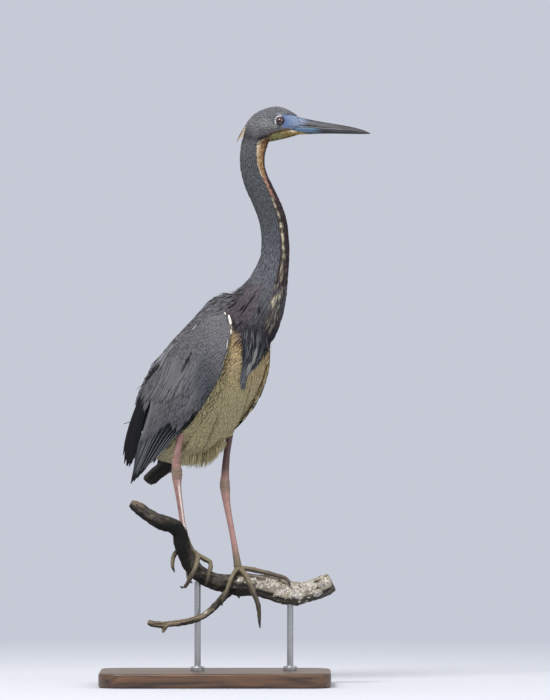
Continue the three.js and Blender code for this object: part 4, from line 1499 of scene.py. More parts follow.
def lining_colour(points):
    """The wing's buff underside, with a dark rim along the far wing's edge."""
    rim = in_gaps(points, FAR_RIM) * (to_left(points) > 0)
    return mix(LINING, RIM_DARK, 0.85 * rim)


def lining_coat():
    """The soft feathers on the inner faces of the wings."""
    rng = np.random.default_rng(55)
    _, under = wing_faces(OUTER.centres, OUTER.face_normals)
    at, _, back = body_place(OUTER.centres).T
    roots = roots_on(OUTER, np.where(under & (at > -12) & (back < 25), 3.0, 0), 56)
    coat = Coat()
    cover(
        coat, OUTER, roots, rng,
        length=11, width=3.4, rings=5, depth=0.8, lift=0.1, outline="down", thick=0.18, camber=0.03,
        scatter=4, tone=0.04, roll=0.05, colour=lining_colour, shade=root_to_tip(0.96, 1.02),
    )
    return coated("wing_linings", coat, "soft")


# ---- wing feathers

SHOULDER_GREY = paint(112, 112, 117)
WING_GREY = paint(101, 101, 105)
WING_BLUE_AND_SHADE = paint(66, 69, 77)
PANEL_GREY = paint(97, 97, 101)
SLIT_SHADOW = paint(36, 36, 40)
STREAK_BROWN = paint(112, 102, 96)
FLIGHT_BLACK = paint(14, 17, 20)
FLIGHT_MIDDLE = paint(36, 41, 45)
FLIGHT_GREY = paint(72, 74, 78)
TIP_BROWN = paint(60, 52, 52)
WHITE = paint(238, 237, 230)
WRIST = np.array((14.0, 450.0))
WING_RIM = [  # Z and X of the wing's front edge, inside which its feathers are rooted
    (332.4, -34), (354.8, -13.3), (367.5, -3.7), (383.4, 4.3), (399.4, 9.9), (412, 13),
    (424.9, 16.3), (440.8, 20.3), (453.5, 21.8), (460.8, 18.6), (465.5, 13),
]
# The same edge carried on down, where the black flight feathers show.
LOW_EDGE = [(300, -62), *WING_RIM]


def from_wrist(points):
    return np.hypot(points[:, 0] - WRIST[0], points[:, 2] - WRIST[1])


def wing_colour(points):
    """Grey, browner at the shoulder and bluer along the front, darker low on it as painted shade where the
    wing turns under, with soft streaks along the lie.
    """
    x, z = points[:, 0], points[:, 2]
    far = from_wrist(points)
    colour = mix(SHOULDER_GREY, WING_GREY, ease(20, 75, far))
    colour = mix(colour, PANEL_GREY, ease(90, 140, far))
    # Partly the wing's own blue-grey, partly painted shade where its lower front turns under.
    blue = band(x, -12, 15) * band(z, 372, 38)
    colour = mix(colour, WING_BLUE_AND_SHADE, 0.85 * blue)
    # A painted shadow in the slit between two groups of coverts.
    slit_shadow = in_gaps(points, [((-29, 418), (-42, 391), 2.6)])
    colour = mix(colour, SLIT_SHADOW, slit_shadow)
    brown = in_gaps(points, [((-46, 372), (-52, 350), 2.0), ((-57, 370), (-61, 352), 1.6)])
    colour = mix(colour, STREAK_BROWN, 0.6 * brown)
    low = ease(-0.8, 1.0, x - table(z, LOW_EDGE)) * ease(368, 358, z)
    colour = mix(colour, FLIGHT_BLACK, 0.95 * low)
    across = x * 0.9 - z * 0.42
    streak = streaks(across / 2.4, z / 26, 6)
    broad = streaks(across / 6.5, z / 40, 7)
    spot = wander(points, 3.2, 8)
    tone = (0.19 * streak + 0.22 * broad) * ease(25, 70, far) + 0.12 * spot * ease(70, 25, far)
    return colour * (1 + tone)[:, None]


FAR_RIM_WIDTH = 4.0


def both_wings(coat_pair, line, normals, width, outline, colour, bake, **look):
    """The same feathers on the right wing and, mirrored, on the left, whose front rim is left bare."""
    rim = look.pop("rim", FAR_RIM_WIDTH)
    coat_pair[0].add(line, normals, width, outline, colour, bake, **look)
    middle = line[:, line.shape[1] // 2]
    keep = middle[:, 0] < table(middle[:, 2], WING_RIM) - rim
    if "roll" in look:
        look = {**look, "roll": -look["roll"][keep]}
    other = np.column_stack([1 - bake[:, 0], bake[:, 1]])
    coat_pair[1].add(
        mirrored(line[keep]), mirrored(normals[keep], 0), width[keep], outline, colour[keep],
        other[keep], **look
    )


COVERT_SIZE = [(0, 7.5), (30, 10), (55, 15), (80, 22), (105, 30), (140, 36), (200, 40)]


def wing_coverts(coats, wing):
    """Small feathers at the shoulder, growing longer towards the flight feathers."""
    rng = np.random.default_rng(61)
    x, z = wing.centres[:, 0], wing.centres[:, 2]
    far = from_wrist(wing.centres)
    along = body_place(wing.centres)[:, 0]
    wanted = (along > -75) & (far < 118) & (x < table(z, WING_RIM) - 0.6) & (z < 466)
    wanted &= z < table(x, MANTLE_EDGE) + 1.5
    spacing = np.where(wanted, 0.17 * table(far, COVERT_SIZE), 0)
    roots = roots_on(wing, spacing, 62)
    far = from_wrist(roots)
    order = np.argsort(-far)
    roots, far = roots[order], far[order]
    n = len(roots)
    length = table(far, COVERT_SIZE) * uneven(rng, n, 0.1)
    width = length * table(far, [(0, 0.34), (60, 0.26), (110, 0.18)]) * uneven(rng, n, 0.08)
    line, normals = lay(wing, roots, wing_lie, length, 8, rng, 4)
    line = raised(line, normals, 0.8 * np.ones(n), 0.15 * np.ones(n), rng, 0.06)
    colour = toned(line, wing_colour, rng, 0.05)
    both_wings(
        coats, line, normals, width, "down", colour, bake_place(roots),
        across=3, thick=0.14, camber=0.02, roll=rng.normal(0, 0.02, n), shade=edged(0.97, 1.02, 1.0),
    )


# Rows of long feathers: roots and tips as X and Z seen from the side, from the first feather to the last.
SECONDARIES = {
    "roots": [(-10, 398), (-34, 404), (-58, 397), (-76, 386)],
    "tips": [(-46, 342), (-62.7, 325), (-79.5, 312), (-94, 301.5)],
    "count": 32,
    "width": 6.5,
    "bow": 5.0,
    "height": (-1.2, 0.6),
}
GREATER_COVERTS = {
    "roots": [(8, 426), (-16, 432), (-42, 420), (-64, 408)],
    "tips": [(-16, 366), (-40, 354), (-62, 350), (-87, 352)],
    "count": 40,
    "width": 4.6,
    "stagger": 0.4,
    "bow": 4.0,
    "height": (-0.4, 0.7),
}
LOWER_COVERTS = {
    "roots": [(13, 424), (6, 410), (-2, 398), (-14, 390)],
    "tips": [(-4, 372), (-15, 357), (-29, 342), (-42, 328)],
    "stagger": 0.3,
    "count": 26,
    "width": 4.2,
    "bow": -2.0,
    "height": (-0.5, 0.2),
}
# Dark feathers along the wing's lower edge: partly its dark flight feathers, partly a painted shade of the
# wing's underside there.
UNDER_EDGE = {
    "roots": [(-7, 368), (-12, 362), (-18, 354)],
    "tips": [(-38, 321), (-42, 318), (-48, 313)],
    "count": 4,
    "width": 6.0,
    "bow": -2.0,
    "height": (-1.7, -1.5),
}
PRIMARIES = {
    "roots": [(-33, 330), (-38, 334), (-44, 340), (-52, 347), (-58, 354)],
    "tips": [(-76, 284), (-84, 276), (-91, 268), (-97, 261), (-102, 255), (-105, 251), (-106, 250)],
    "count": 8,
    "width": 7.0,
    "bow": -3.0,
    "height": (-1.5, -0.9),
    "outward": 0.5,
}
UPPER_PRIMARIES = {
    "roots": [(-60, 352), (-68, 350), (-74, 346)],
    "tips": [(-106, 259), (-103, 270), (-99, 284)],
    "count": 4,
    "width": 9.0,
    "bow": -2.0,
    "height": (-0.8, -0.6),
    "outward": 0.5,
}
TERTIALS = {
    "roots": [(-77, 396), (-82, 386), (-85.5, 374), (-86, 364), (-84, 354)],
    "tips": [
        (-115, 294), (-117, 287), (-114, 276), (-110, 272), (-105.5, 277), (-100.5, 286),
        (-97, 292),
    ],
    "count": 16,
    "width": 8.5,
    "bow": -3.5,
    "height": (-1.0, -0.9),
    "outward": 1.2,
}
SCAPULARS = {
    "roots": [(-36, 438), (-44, 431), (-50, 426), (-54, 421)],
    "tips": [(-81, 401), (-80, 396), (-73, 398), (-66, 396)],
    "count": 14,
    "width": 4.6,
    "bow": -2.0,
    "height": (0.2, 0.9),
}
# Black feathers under the scapulars' tips: partly their dark bases, partly a painted shadow in the gap
# below them.
SCAPULAR_BLACK_AND_SHADOW = {
    "roots": [(-60, 412), (-62, 410), (-64, 406)],
    "tips": [(-84, 390), (-90, 379), (-86, 384)],
    "count": 4,
    "width": 7.0,
    "bow": 0.0,
    "height": (0.0, 0.3),
}
LONG_RINGS = 11


def long_feathers(coats, wing, row, colour, rng, **look):
    """A row of long feathers on each wing, one over the next. colour is a function, or holds colours."""
    n = row["count"]
    roots, tips = (smooth_line(row[key], n) for key in ("roots", "tips"))
    tips = roots + (tips - roots) * (1 - row.get("stagger", 0.02) * rng.random((n, 1)))
    t = np.linspace(0, 1, LONG_RINGS)[None, :, None]
    line = roots[:, None] + (tips - roots)[:, None] * t
    across = unit((tips - roots)[:, ::-1] * (-1, 1))[:, None]
    line = line + across * row["bow"] * arch(t) + rng.normal(0, 0.8, (n, 1, 2)) * t
    at, normals = seen_at(wing, line)
    normals = unit(normals - BODY_LEFT * row.get("outward", 0))
    height = np.linspace(*row["height"], n)[:, None, None] + 0.9 * t - 0.6
    at = at + normals * height
    if callable(colour):
        colour = toned(at, colour, rng, 0.08)
    else:
        colour = np.broadcast_to(colour, (n, 3))
    width = row["width"] * uneven(rng, n, 0.05)
    bake = bake_place(at[:, 0])
    both_wings(
        coats, at, normals, width, "flight", colour, bake,
        across=7, thick=0.2, camber=0.01, roll=rng.normal(-0.04, 0.01, n), **look,
    )


def striped(shaft, outer, inner):
    """A flight feather's tones: its shaft, and its two webs."""

    def shade(t, x):
        web = np.where(x[None] > 0, outer, inner) * np.ones((len(t), 1))
        return np.where(np.abs(x)[None] < 0.1, shaft, web)

    return shade


def pale_edge(t, x):
    """How far a flight feather's edge is worn pale, strongest towards the tip."""
    return (x[None] < -0.9) * ease(0.1, 0.4, t)[:, None]


def flight_feathers(coats, wing):
    rng = np.random.default_rng(71)
    n = PRIMARIES["count"]
    dark = mix(FLIGHT_BLACK, FLIGHT_MIDDLE, np.linspace(0.0, 1.0, n) ** 1.5)
    edge = (pale_edge, paint(170, 176, 180))
    long_feathers(coats, wing, PRIMARIES, dark, rng, shade=striped(1.5, 1.0, 0.7), tint=edge)
    n = UPPER_PRIMARIES["count"]
    grey = mix(FLIGHT_MIDDLE, FLIGHT_GREY, np.linspace(0.5, 1, n))
    webs = striped(1.3, 1.0, 0.8)
    # Their bases, where they pass under the secondaries, are darkened: partly their own black bases, partly
    # a painted shadow of that edge.
    long_feathers(
        coats, wing, UPPER_PRIMARIES, grey, rng, tint=edge,
        shade=lambda t, x: webs(t, x) * (0.12 + 0.88 * ease(0.31, 0.39, t))[:, None],
    )
    n = TERTIALS["count"]
    dark = mix(FLIGHT_BLACK, TIP_BROWN, rng.random(n) * 0.15)
    long_feathers(coats, wing, TERTIALS, dark, rng, shade=striped(1.4, 1.0, 0.85))
    long_feathers(coats, wing, UNDER_EDGE, FLIGHT_MIDDLE, rng, shade=striped(1.2, 1.0, 0.8))
    for row in (SECONDARIES, LOWER_COVERTS, GREATER_COVERTS):
        long_feathers(coats, wing, row, wing_colour, rng, shade=striped(1.06, 1.0, 0.93))


# Single marks: X and Z at both ends, width, and colour.
WING_MARKS = [
    ((17.6, 463.5), (21, 447), 3.8, WHITE),
    ((20.8, 449), (19.4, 438), 2.6, WHITE * 0.7),
    ((12.5, 467), (14.5, 463.5), 1.8, WHITE),
    ((16, 432), (14.6, 420), 1.4, WHITE * 0.6),
    ((-22, 450), (-28.4, 444.3), 1.8, WHITE * 0.7),
    ((-84, 381), (-99.4, 369), 1.3, TIP_BROWN),
    ((-104, 330), (-115.3, 326.5), 1.2, TIP_BROWN),
]


def wing_marks(coats, wing):
    """The small white feathers at the bend of the wing, and loose wisps behind it."""
    start, end, width, colour = (np.array(column, float) for column in zip(*WING_MARKS))
    t = np.linspace(0, 1, 6)[None, :, None]
    line, normals = seen_at(wing, start[:, None] + (end - start)[:, None] * t)
    line = line + normals * 1.1
    both_wings(
        coats, line, normals, width, "down", colour, bake_place(line[:, 0]),
        across=5, thick=0.3, rim=-10,
    )


def scapulars(coats, wing):
    """The row of long shoulder feathers that ends the mantle, with black feathers below it that are partly
    dark bases and partly a painted shadow under its tips.
    """
    rng = np.random.default_rng(75)
    long_feathers(coats, wing, SCAPULAR_BLACK_AND_SHADOW, FLIGHT_BLACK, rng, shade=striped(1.3, 1.0, 0.9))
    long_feathers(coats, wing, SCAPULARS, mantle_colour, rng, shade=striped(1.05, 1.0, 0.95))


def wing_pieces(wing):
    coats = (Coat(), Coat())
    flight_feathers(coats, wing)
    wing_coverts(coats, wing)
    scapulars(coats, wing)
    wing_marks(coats, wing)
    for side, coat in zip(("right", "left"), coats):
        name = "wing_feathers_" + side
        coated(name, coat, "vane", ["primaries_" + side, "tertials_" + side])


# ---- tail

TAIL_ROOT = (-62, -35)  # along the trunk and back
TAIL_LIFT = math.radians(20)
TAIL_LENGTH = 87
TAIL_WIDTH = 20.0  # of each feather
TAIL_ARCH = 1.44
TAIL_TWIST = math.radians(40)
TAIL_COUNT = 12
TAIL_COLOUR = paint(48, 51, 51)
TAIL_BROWN = paint(66, 58, 54)


def tail_piece():
    rng = np.random.default_rng(81)
    spread = np.linspace(-1, 1, TAIL_COUNT)
    spread = spread[np.argsort(-np.abs(spread), kind="stable")]
    t = np.linspace(0, 1, 9)
    reach = (TAIL_LENGTH - 4 * spread**2)[:, None] * t
    across = spread[:, None] * (5 + 8 * t)
    rise = TAIL_ARCH * arch(t) - 3 * np.abs(spread)[:, None] * t
    cosine, sine = math.cos(TAIL_TWIST), math.sin(TAIL_TWIST)
    place = np.stack(
        [
            TAIL_ROOT[0] - reach * math.cos(TAIL_LIFT),
            across * cosine - rise * sine,
            TAIL_ROOT[1] + reach * math.sin(TAIL_LIFT) + rise * cosine + across * sine,
        ],
        axis=-1,
    )
    line = on_body(place)
    over = BODY_BACK * cosine - BODY_LEFT * sine
    line = line + over * (0.35 * np.arange(TAIL_COUNT) - 1.5)[:, None, None]
    normals = np.broadcast_to(over, line.shape) + BODY_LEFT * 0.3 * spread[:, None, None]
    colour = mix(TAIL_COLOUR, TAIL_BROWN, rng.random(TAIL_COUNT) * 0.6)
    coat = Coat()
    coat.add(
        line, unit(normals), np.full(TAIL_COUNT, TAIL_WIDTH), "square", colour, bake_place(line[:, 0]),
        across=7, thick=0.5, camber=0.1, shade=striped(1.5, 1.0, 0.85),
    )
    return coated("tail_feathers", coat, "vane", ["tail"])


# ---- loose plumes

NAPE_PLUMES = [  # along and up the head, root and tip, to the left, width, pale or dark
    ((44.5, 700), (34.0, 684.0), -7.5, 4.6, True),
    ((43.5, 699.5), (31.0, 680.5), -6.5, 3.4, True),
    ((41, 701), (27.5, 677.5), -2.6, 1.6, False),
    ((41.5, 698), (33.5, 685.5), -6.0, 2.4, True),
    ((40, 699), (29.5, 681.5), 1.0, 2.4, True),
]
PLUME_PALE = paint(214, 200, 174)
PLUME_DARK = paint(98, 84, 78)


def nape_piece():
    t = np.linspace(0, 1, 8)
    lines, colours, widths = [], [], []
    for root, tip, out, width, pale in NAPE_PLUMES:
        at = root[0] + (tip[0] - root[0]) * t - 1.2 * arch(t)
        up = root[1] + (tip[1] - root[1]) * t + 0.8 * arch(t)
        lines.append(on_head(np.column_stack([at, out * (1 - 0.5 * t), up])))
        colours.append(PLUME_PALE if pale else PLUME_DARK)
        widths.append(width)
    line = np.array(lines)
    normals = np.broadcast_to(-level(HEAD_YAW + math.radians(60)), line.shape)
    coat = Coat()
    coat.add(
        line, normals, np.array(widths), "lance", np.array(colours), bake_place(line[:, 0]),
        across=3, thick=0.4,
    )
    return coated("nape_plumes_coat", coat, "fine", ["nape_plumes"])


PLUME_HIGH = paint(94, 95, 102)
PLUME_SLATE = paint(80, 80, 88)
PLUME_LOW = paint(58, 57, 64)
PLUME_BLACK = paint(44, 46, 54)
PLUME_PURPLE = paint(102, 90, 97)
PLUME_STREAK = paint(108, 110, 116)
PLUME_TONES = [  # by height
    (395, PLUME_BLACK * 0.7),
    (425, PLUME_BLACK),
    (446, PLUME_LOW),
    (466, PLUME_SLATE),
    (482, PLUME_HIGH),
]
PLUME_ROOTS = [(0, 440), (40, 440), (57, 455), (71, 470), (85, 478), (100, 488)]  # turn and lowest Z


def neck_plume_colour(points):
    reach, turn, _ = on_spine(points)
    base = fade(points[:, 2], PLUME_TONES)
    colour = mix(base, PLUME_PURPLE, 0.8 * ease(48, 72, turn) * ease(445, 470, points[:, 2]))
    streak = streaks(reach / 14, turn / 5, 8)
    colour = colour * (1 + 0.16 * streak)[:, None]
    pale = ease(-0.1, 0.4, streaks(reach / 8, turn / 6, 9))
    stripe = band(turn, 8, 12) * ease(440, 455, points[:, 2])
    colour = mix(colour, STRIPE_CREAM * 0.85, 0.8 * stripe * pale)
    return slot_shadowed(colour, points, NECK_SLOTS)


def lower_neck_plumes():
    """Long pointed feathers that hang from the foot of the neck over the breast and the shoulders."""
    rng = np.random.default_rng(91)
    _, turn, _ = on_spine(BODY.centres)
    up = BODY.centres[:, 2]
    wanted = (up > table(np.abs(turn), PLUME_ROOTS)) & (up < 512) & (np.abs(turn) < 125)
    wanted &= mantle_share(BODY.centres) < 0.3
    roots = roots_on(BODY, np.where(wanted, 2.7, 0), 92)
    _, turn, _ = on_spine(roots)
    n = len(roots)
    size = table(roots[:, 2], [(440, 1.0), (475, 1.05), (500, 0.75), (512, 0.6)])
    front = ease(50, 15, np.abs(turn))
    coat = Coat()
    cover(
        coat, BODY, roots, rng,
        length=32 * size, width=2.6, rings=9, depth=1.8, lift=0.5 + 1.6 * front * rng.random(n),
        outline="lance", thick=0.3, camber=0.05, scatter=3.5, tone=0.08, colour=neck_plume_colour,
        shade=root_to_tip(0.85, 1.06), roll=0.1,
    )
    return coated("neck_plumes", coat, "fine")


TUFT = [  # X and Z down its middle, seen from the side
    (50, 449), (49, 436), (48, 424), (46, 412), (42.5, 402), (38, 394), (34.7, 384), (33.5, 370),
]
TUFT_STEPS = 60
TUFT_COUNT = 300
# How far down it, from 0 to 1, and its half width there.
TUFT_HALF = [(0, 13), (0.14, 14), (0.28, 14), (0.43, 12.5), (0.57, 9), (0.7, 5), (0.85, 2.3), (1, 1)]


def breast_tuft():
    """The dark tuft that ends the foreneck, streaked with pale grey."""
    rng = np.random.default_rng(101)
    n, steps = TUFT_COUNT, TUFT_STEPS
    middle = smooth_line(TUFT, steps)
    start = 0.75 * rng.random(n) ** 1.4
    length = np.minimum(rng.uniform(0.2, 0.36, n), 1 - start)
    t = np.linspace(0, 1, 9)
    along = start[:, None] + length[:, None] * t
    base = np.stack([np.interp(along * (steps - 1), np.arange(steps), middle[:, k]) for k in (0, 1)], -1)
    spread = rng.uniform(-1, 1, n)[:, None] * table(along, TUFT_HALF) + rng.normal(0, 1.4, (n, 1)) * t
    base = base + spread[..., None] * (0.98, -0.2)
    at, normals = seen_at(BODY, base)
    height = rng.uniform(0.2, 3.0, n)[:, None] * (1 - 0.5 * t) + 1.2 * t
    at = at + normals * height[..., None]
    pale = (rng.random(n) < 0.22)[:, None] * ease(0, 0.4, t)
    rows = [(0, PLUME_LOW), (0.4, PLUME_BLACK), (0.7, PLUME_SLATE), (1, PLUME_STREAK)]
    tone = fade(along.ravel(), rows).reshape(at.shape)
    colour = mix(tone * uneven(rng, n, 0.15)[:, None, None], PLUME_STREAK, pale)
    patches = [((52, 421), (47, 401), 3.6), ((45, 404), (40, 388), 3.2)]
    white = in_gaps(at.reshape(-1, 3), patches).reshape(at.shape[:2])
    colour = mix(colour, paint(190, 190, 186), 0.6 * white * rng.uniform(0.5, 1, (n, 1)))
    coat = Coat()
    coat.add(
        at, normals, rng.uniform(1.2, 2.4, n), "lance", colour, bake_place(at[:, 0]),
        across=3, thick=0.3, camber=0.05, roll=rng.normal(0, 0.15, n), shade=root_to_tip(0.9, 1.1),
    )
    return coated("breast_tuft", coat, "fine", ["breast_plumes"])


# ---- bill and eyes

BILL_GREY = paint(52, 52, 57)
BILL_STREAK = paint(84, 84, 95)
BILL_DARK = paint(26, 26, 31)
BILL_TIP = paint(54, 54, 59)
BILL_TIP_LOW = paint(62, 62, 60)
BILL_TEAL = paint(88, 114, 140)
BILL_LOW = paint(44, 44, 48)
BILL_BLACK = paint(34, 34, 36)
NOSTRIL = {"start": 106.0, "end": 125.0, "up": 700.4, "fall": 0.05, "half": 0.7, "depth": 0.8}
MOUTH = [(96, 697.9), (107, 697.7), (123, 696.7), (143, 694.9), (163, 693.8), (190, 692.2)]


def nostril_gap(place):
    """How far above or below the nostril's line a place on the head is."""
    return np.abs(place[:, 2] - NOSTRIL["up"] + NOSTRIL["fall"] * (place[:, 0] - NOSTRIL["start"]))


def bill_colour(points, upper):
    place = head_place(points)
    at, side, up = place.T
    stretch = np.column_stack([at / 9, side * 0.6 + 40, up * 1.4])
    streak = wander(stretch, 1.6, 21)
    edge = up - table(at, MOUTH)
    if not upper:
        colour = mix(BILL_LOW, BILL_STREAK, 0.25 * ease(0.1, 0.5, streak))
        colour = mix(colour, BILL_TEAL, ease(140, 122, at))
        colour = mix(colour, BILL_BLACK, 0.8 * ease(-4.5, -6.5, edge) * ease(150, 120, at))
        wedge = up - table(at, [(100, 694), (106, 692.6), (119, 689.5)])
        colour = mix(colour, CHIN_OCHRE * 1.1, ease(0.5, -0.5, wedge) * ease(120, 116, at))
        return mix(colour, BILL_TIP_LOW, ease(165, 178, at))
    # A pale lavender band under the ridge: partly the horn's own colour, partly a painted highlight along
    # the bill's side.
    pale = band(up, table(at, [(100, 705.6), (135, 702.6), (165, 699.1)]), 1.9)
    colour = mix(BILL_GREY, BILL_STREAK, 0.85 * pale * ease(160, 130, at))
    colour = mix(colour, BILL_STREAK, 0.5 * ease(0.1, 0.5, streak) * ease(180, 130, at))
    colour = mix(colour, BILL_DARK, ease(-0.1, -0.45, streak) * 0.75)
    blue = ease(121, 106, at + 7 * streak) * ease(710.5, 708, up)
    colour = mix(colour, LORE_PALE, 0.95 * blue)
    lip = band(edge, 0.9, 0.45) * ease(104, 110, at) * ease(168, 158, at)
    colour = mix(colour, paint(170, 174, 182), 0.5 * lip)
    above = band(edge, 2.2, 0.6) * ease(104, 110, at) * ease(175, 165, at)
    colour = mix(colour, BILL_DARK * 0.6, 0.6 * above)
    # The nostril slit painted near black, as shadow inside the opening.
    nostril_shadow = ease(0.9, 0.4, nostril_gap(place)) * ease(105, 108, at) * ease(127, 123, at)
    colour = mix(colour, BILL_BLACK * 0.5, 0.85 * nostril_shadow)
    return mix(colour, BILL_TIP, ease(166, 178, at))


def bill_piece(node, upper, material):
    bm = moulded(welded([node], 0.12), 0.42, 3)
    at, normals = places(bm)
    place = head_place(at)
    if upper:
        along, start, end = place[:, 0], NOSTRIL["start"], NOSTRIL["end"]
        middle = ease(start, start + 2, along) * ease(end, end - 3, along)
        gap = nostril_gap(place)
        at = at - normals * (NOSTRIL["depth"] * middle * ease(NOSTRIL["half"], 0, gap))[:, None]
        groove = ease(104, 110, along) * ease(160, 120, along)
        gap = np.abs(place[:, 2] - table(along, [(104, 703.5), (160, 697.1)]))
        at = at - normals * (0.3 * groove * ease(1.3, 0, gap))[:, None]
        put(bm, at)
    return marked(node + "_horn", bm, bill_colour(at, upper), material, [node])


CORNEA = {"radius": 4.6, "rise": 0.55}


def eye_piece(side, name, material):
    """An eyeball with a clear bulge over the iris, its pole turned outwards."""
    bm = bmesh.new()
    bmesh.ops.create_uvsphere(bm, u_segments=48, v_segments=40, radius=EYE_RADIUS)
    at = np.array([v.co for v in bm.verts])
    ring = np.hypot(at[:, 0], at[:, 1])
    front = at[:, 2] > 0
    at[:, 2] += np.where(front, CORNEA["rise"] * ease(CORNEA["radius"], 1.0, ring), 0)
    share = np.where(front, ring / LID_EDGE, 1.2)
    axes = np.array((HEAD_AXES[0], HEAD_AXES[2], side * HEAD_AXES[1]))
    if side > 0:
        axes[1] = -axes[1]
    centre = on_head((EYE_AT[0], side * EYE_OUT, EYE_AT[1]))
    put(bm, centre + at @ axes)
    bmesh.ops.recalc_face_normals(bm, faces=bm.faces)
    mesh = from_bmesh("eyeball_" + name, bm)
    attribute = mesh.attributes.new("Ring", "FLOAT", "POINT")
    attribute.data.foreach_set("value", share.astype(np.float32))
    return finished("eyeball_" + name, mesh, material, ["eye_" + name])


# ---- legs and claws

SHIN_PINK = paint(166, 126, 120)
SHIN_DARK = paint(120, 84, 82)
SHIN_SHADE = paint(66, 46, 48)
ANKLE_OLIVE = paint(122, 110, 90)
TOE_OLIVE = paint(112, 101, 78)
TOE_SHADE = paint(60, 52, 40)
TOE_TIP = paint(64, 54, 46)
SHIN_HIGHLIGHT = paint(246, 232, 226)
CLAW_DARK = paint(46, 42, 40)
ANKLES = {"right": 267.0, "left": 250.0}
BALLS = {"right": np.array((-29.8, 1.2, 167.5)), "left": np.array((28.8, -2.3, 145.5))}
SCUTE = 3.3  # from one scale of the shin to the next
TOE_SCUTE = 2.5


def leg_piece(name, material):
    nodes = [part + name for part in ("shank_", "tarsus_", "foot_")]
    bm = moulded(welded(nodes, 0.3), 0.6, 5)
    at, normals = places(bm)
    ball, ankle = BALLS[name], ANKLES[name]
    reach = np.linalg.norm(at - ball, axis=1)
    foot = ease(ball[2] + 14, ball[2] + 4, at[:, 2])
    shin_phase = (at[:, 2] + 0.35 * (at[:, 0] - ball[0])) / SCUTE
    toe_phase = reach / TOE_SCUTE
    shin = np.abs(np.sin(math.pi * shin_phase)) ** 0.35
    toe = np.abs(np.sin(math.pi * toe_phase)) ** 0.35
    front = ease(-0.5, 0.3, normals @ level(math.radians(60)))
    above = ease(-0.3, 0.3, normals[:, 2])
    groove = (1 - shin) * front * 0.2 * (1 - foot) + (1 - toe) * above * 0.25 * foot
    joint = ease(18, 8, np.abs(at[:, 2] - ankle))
    lumps = 0.45 * wander(at, 2.4, 31) * joint
    pads = 0.35 * np.maximum(np.sin(math.pi * reach / 8.5), 0) * foot * ease(4, 10, reach)
    at = at + normals * (lumps + pads - groove)[:, None]
    put(bm, at)
    patch = wander(at, 6.0, 32)
    colour = mix(SHIN_PINK, SHIN_DARK, ease(0.0, 0.8, patch) * 0.5)
    # A painted highlight down the front of each tarsus, near white on the near leg, which is also made a
    # touch lighter.
    highlight = ease(0.9, 0.985, normals @ level(math.radians(62)))
    if name == "right":
        colour = mix(colour * 1.02, SHIN_HIGHLIGHT, 0.8 * highlight * ease(262, 246, at[:, 2]))
    else:
        # The far leg: darker all over as painted shade, and its upper part painted in the body's shadow.
        colour = mix(colour * 0.86, SHIN_PINK * 1.2, 0.5 * highlight)
        colour = mix(colour, SHIN_SHADE, ease(256, 276, at[:, 2]) * 0.85)
    ring = np.abs(at[:, 2] - ankle) + 3 * wander(at, 4.0, 34)
    colour = mix(colour, ANKLE_OLIVE, 0.75 * ease(12, 3, ring))
    low = ease(ball[2] + 34, ball[2] + 6, at[:, 2])
    colour = mix(colour, TOE_OLIVE, low)
    # Painted shade on the undersides of the toes.
    colour = mix(colour, TOE_SHADE, 0.8 * low * ease(0.35, -0.35, normals[:, 2]))
    colour = mix(colour, TOE_TIP, 0.7 * low * ease(26, 46, reach))
    colour = colour * (1 - 1.5 * groove)[:, None] * (1 + 0.12 * wander(at, 1.6, 33))[:, None]
    return marked("leg_" + name, bm, colour, material, nodes)


def claw_piece(name, material):
    nodes = [f"claw_{name}_{toe}" for toe in ("middle", "outer", "inner", "hind")]
    bm = moulded(welded(nodes, 0.22), 0.3, 2)
    at, _ = places(bm)
    colour = CLAW_DARK * (1 + 0.2 * wander(at, 1.5, 41))[:, None]
    return marked("claws_" + name, bm, colour, material, nodes)


# ---- perch

BRANCH_LINE = [
    (-105, -42, 229), (-84, -37, 214), (-54, -26, 201), (-41.5, -17.5, 178), (-30, -9.5, 150.5),
    (-15, -4, 136.5), (6, -1, 128), (50, 1, 125.5), (95, 6, 114.5), (132, 10, 122), (146, 11.5, 129),
]
TWIG_LINE = [(20, -2, 120), (-1, -13, 98.5), (-36, -23, 80.5), (-84, -33, 80)]
BARK = paint(72, 66, 62)
BARK_SHADE = paint(16, 17, 16)
BARK_DARK = paint(40, 37, 33)
BARK_PALE = paint(120, 112, 100)
BARK_GREY = paint(166, 158, 144)
TWIG_BROWN = paint(138, 124, 104)
BROKEN = paint(126, 104, 84)
LICHEN = paint(206, 200, 192)
LICHEN_TAN = paint(164, 148, 116)
LICHEN_SPOTS = [  # X and Z seen from the side, and the patch's half size
    (94, 118, 13, 7),
    (70, 128, 10, 5),
    (118, 124, 10, 5),
    (45, 131, 9, 4),
    (-14, 94, 5, 3),
    (138, 131, 5, 5),
    (106, 112, 5, 4),
    (82, 114, 6, 3),
    (128, 116, 6, 3),
    (56, 126, 5, 4),
    (32, 133, 5, 3),
]


def along_perch(points):
    """How far along the branch or twig each point is, and its turn round it."""
    lines = [smooth_line(BRANCH_LINE, 120), smooth_line(TWIG_LINE, 60)]
    at = np.vstack(lines)
    way = np.vstack([unit(np.gradient(line, axis=0)) for line in lines])
    length = np.concatenate([np.linspace(0, 330, 120), np.linspace(500, 630, 60)])
    gap = ((points[:, None] - at[None]) ** 2).sum(axis=2)
    i = gap.argmin(axis=1)
    out = points - at[i]
    side = unit(np.cross(way[i], (0.0, 1.0, 0.15)))
    turn = np.arctan2(np.sum(out * side, axis=1), out[:, 1])
    return length[i] + np.sum(out * way[i], axis=1), turn


def lichen_share(points):
    """How far the bark is grown over with lichen, in patches of their own."""
    share = np.zeros(len(points))
    for x, z, wide, high in LICHEN_SPOTS:
        share = np.maximum(share, band(points[:, 0], x, wide) * band(points[:, 2], z, high))
    right = ease(40, 80, points[:, 0]) * (points[:, 2] > 100)
    ragged = wander(points, 6.0, 54) + 0.6 * wander(points, 2.4, 55)
    return ease(0.35, 0.6, share + 0.4 * ragged + 0.2 * right)


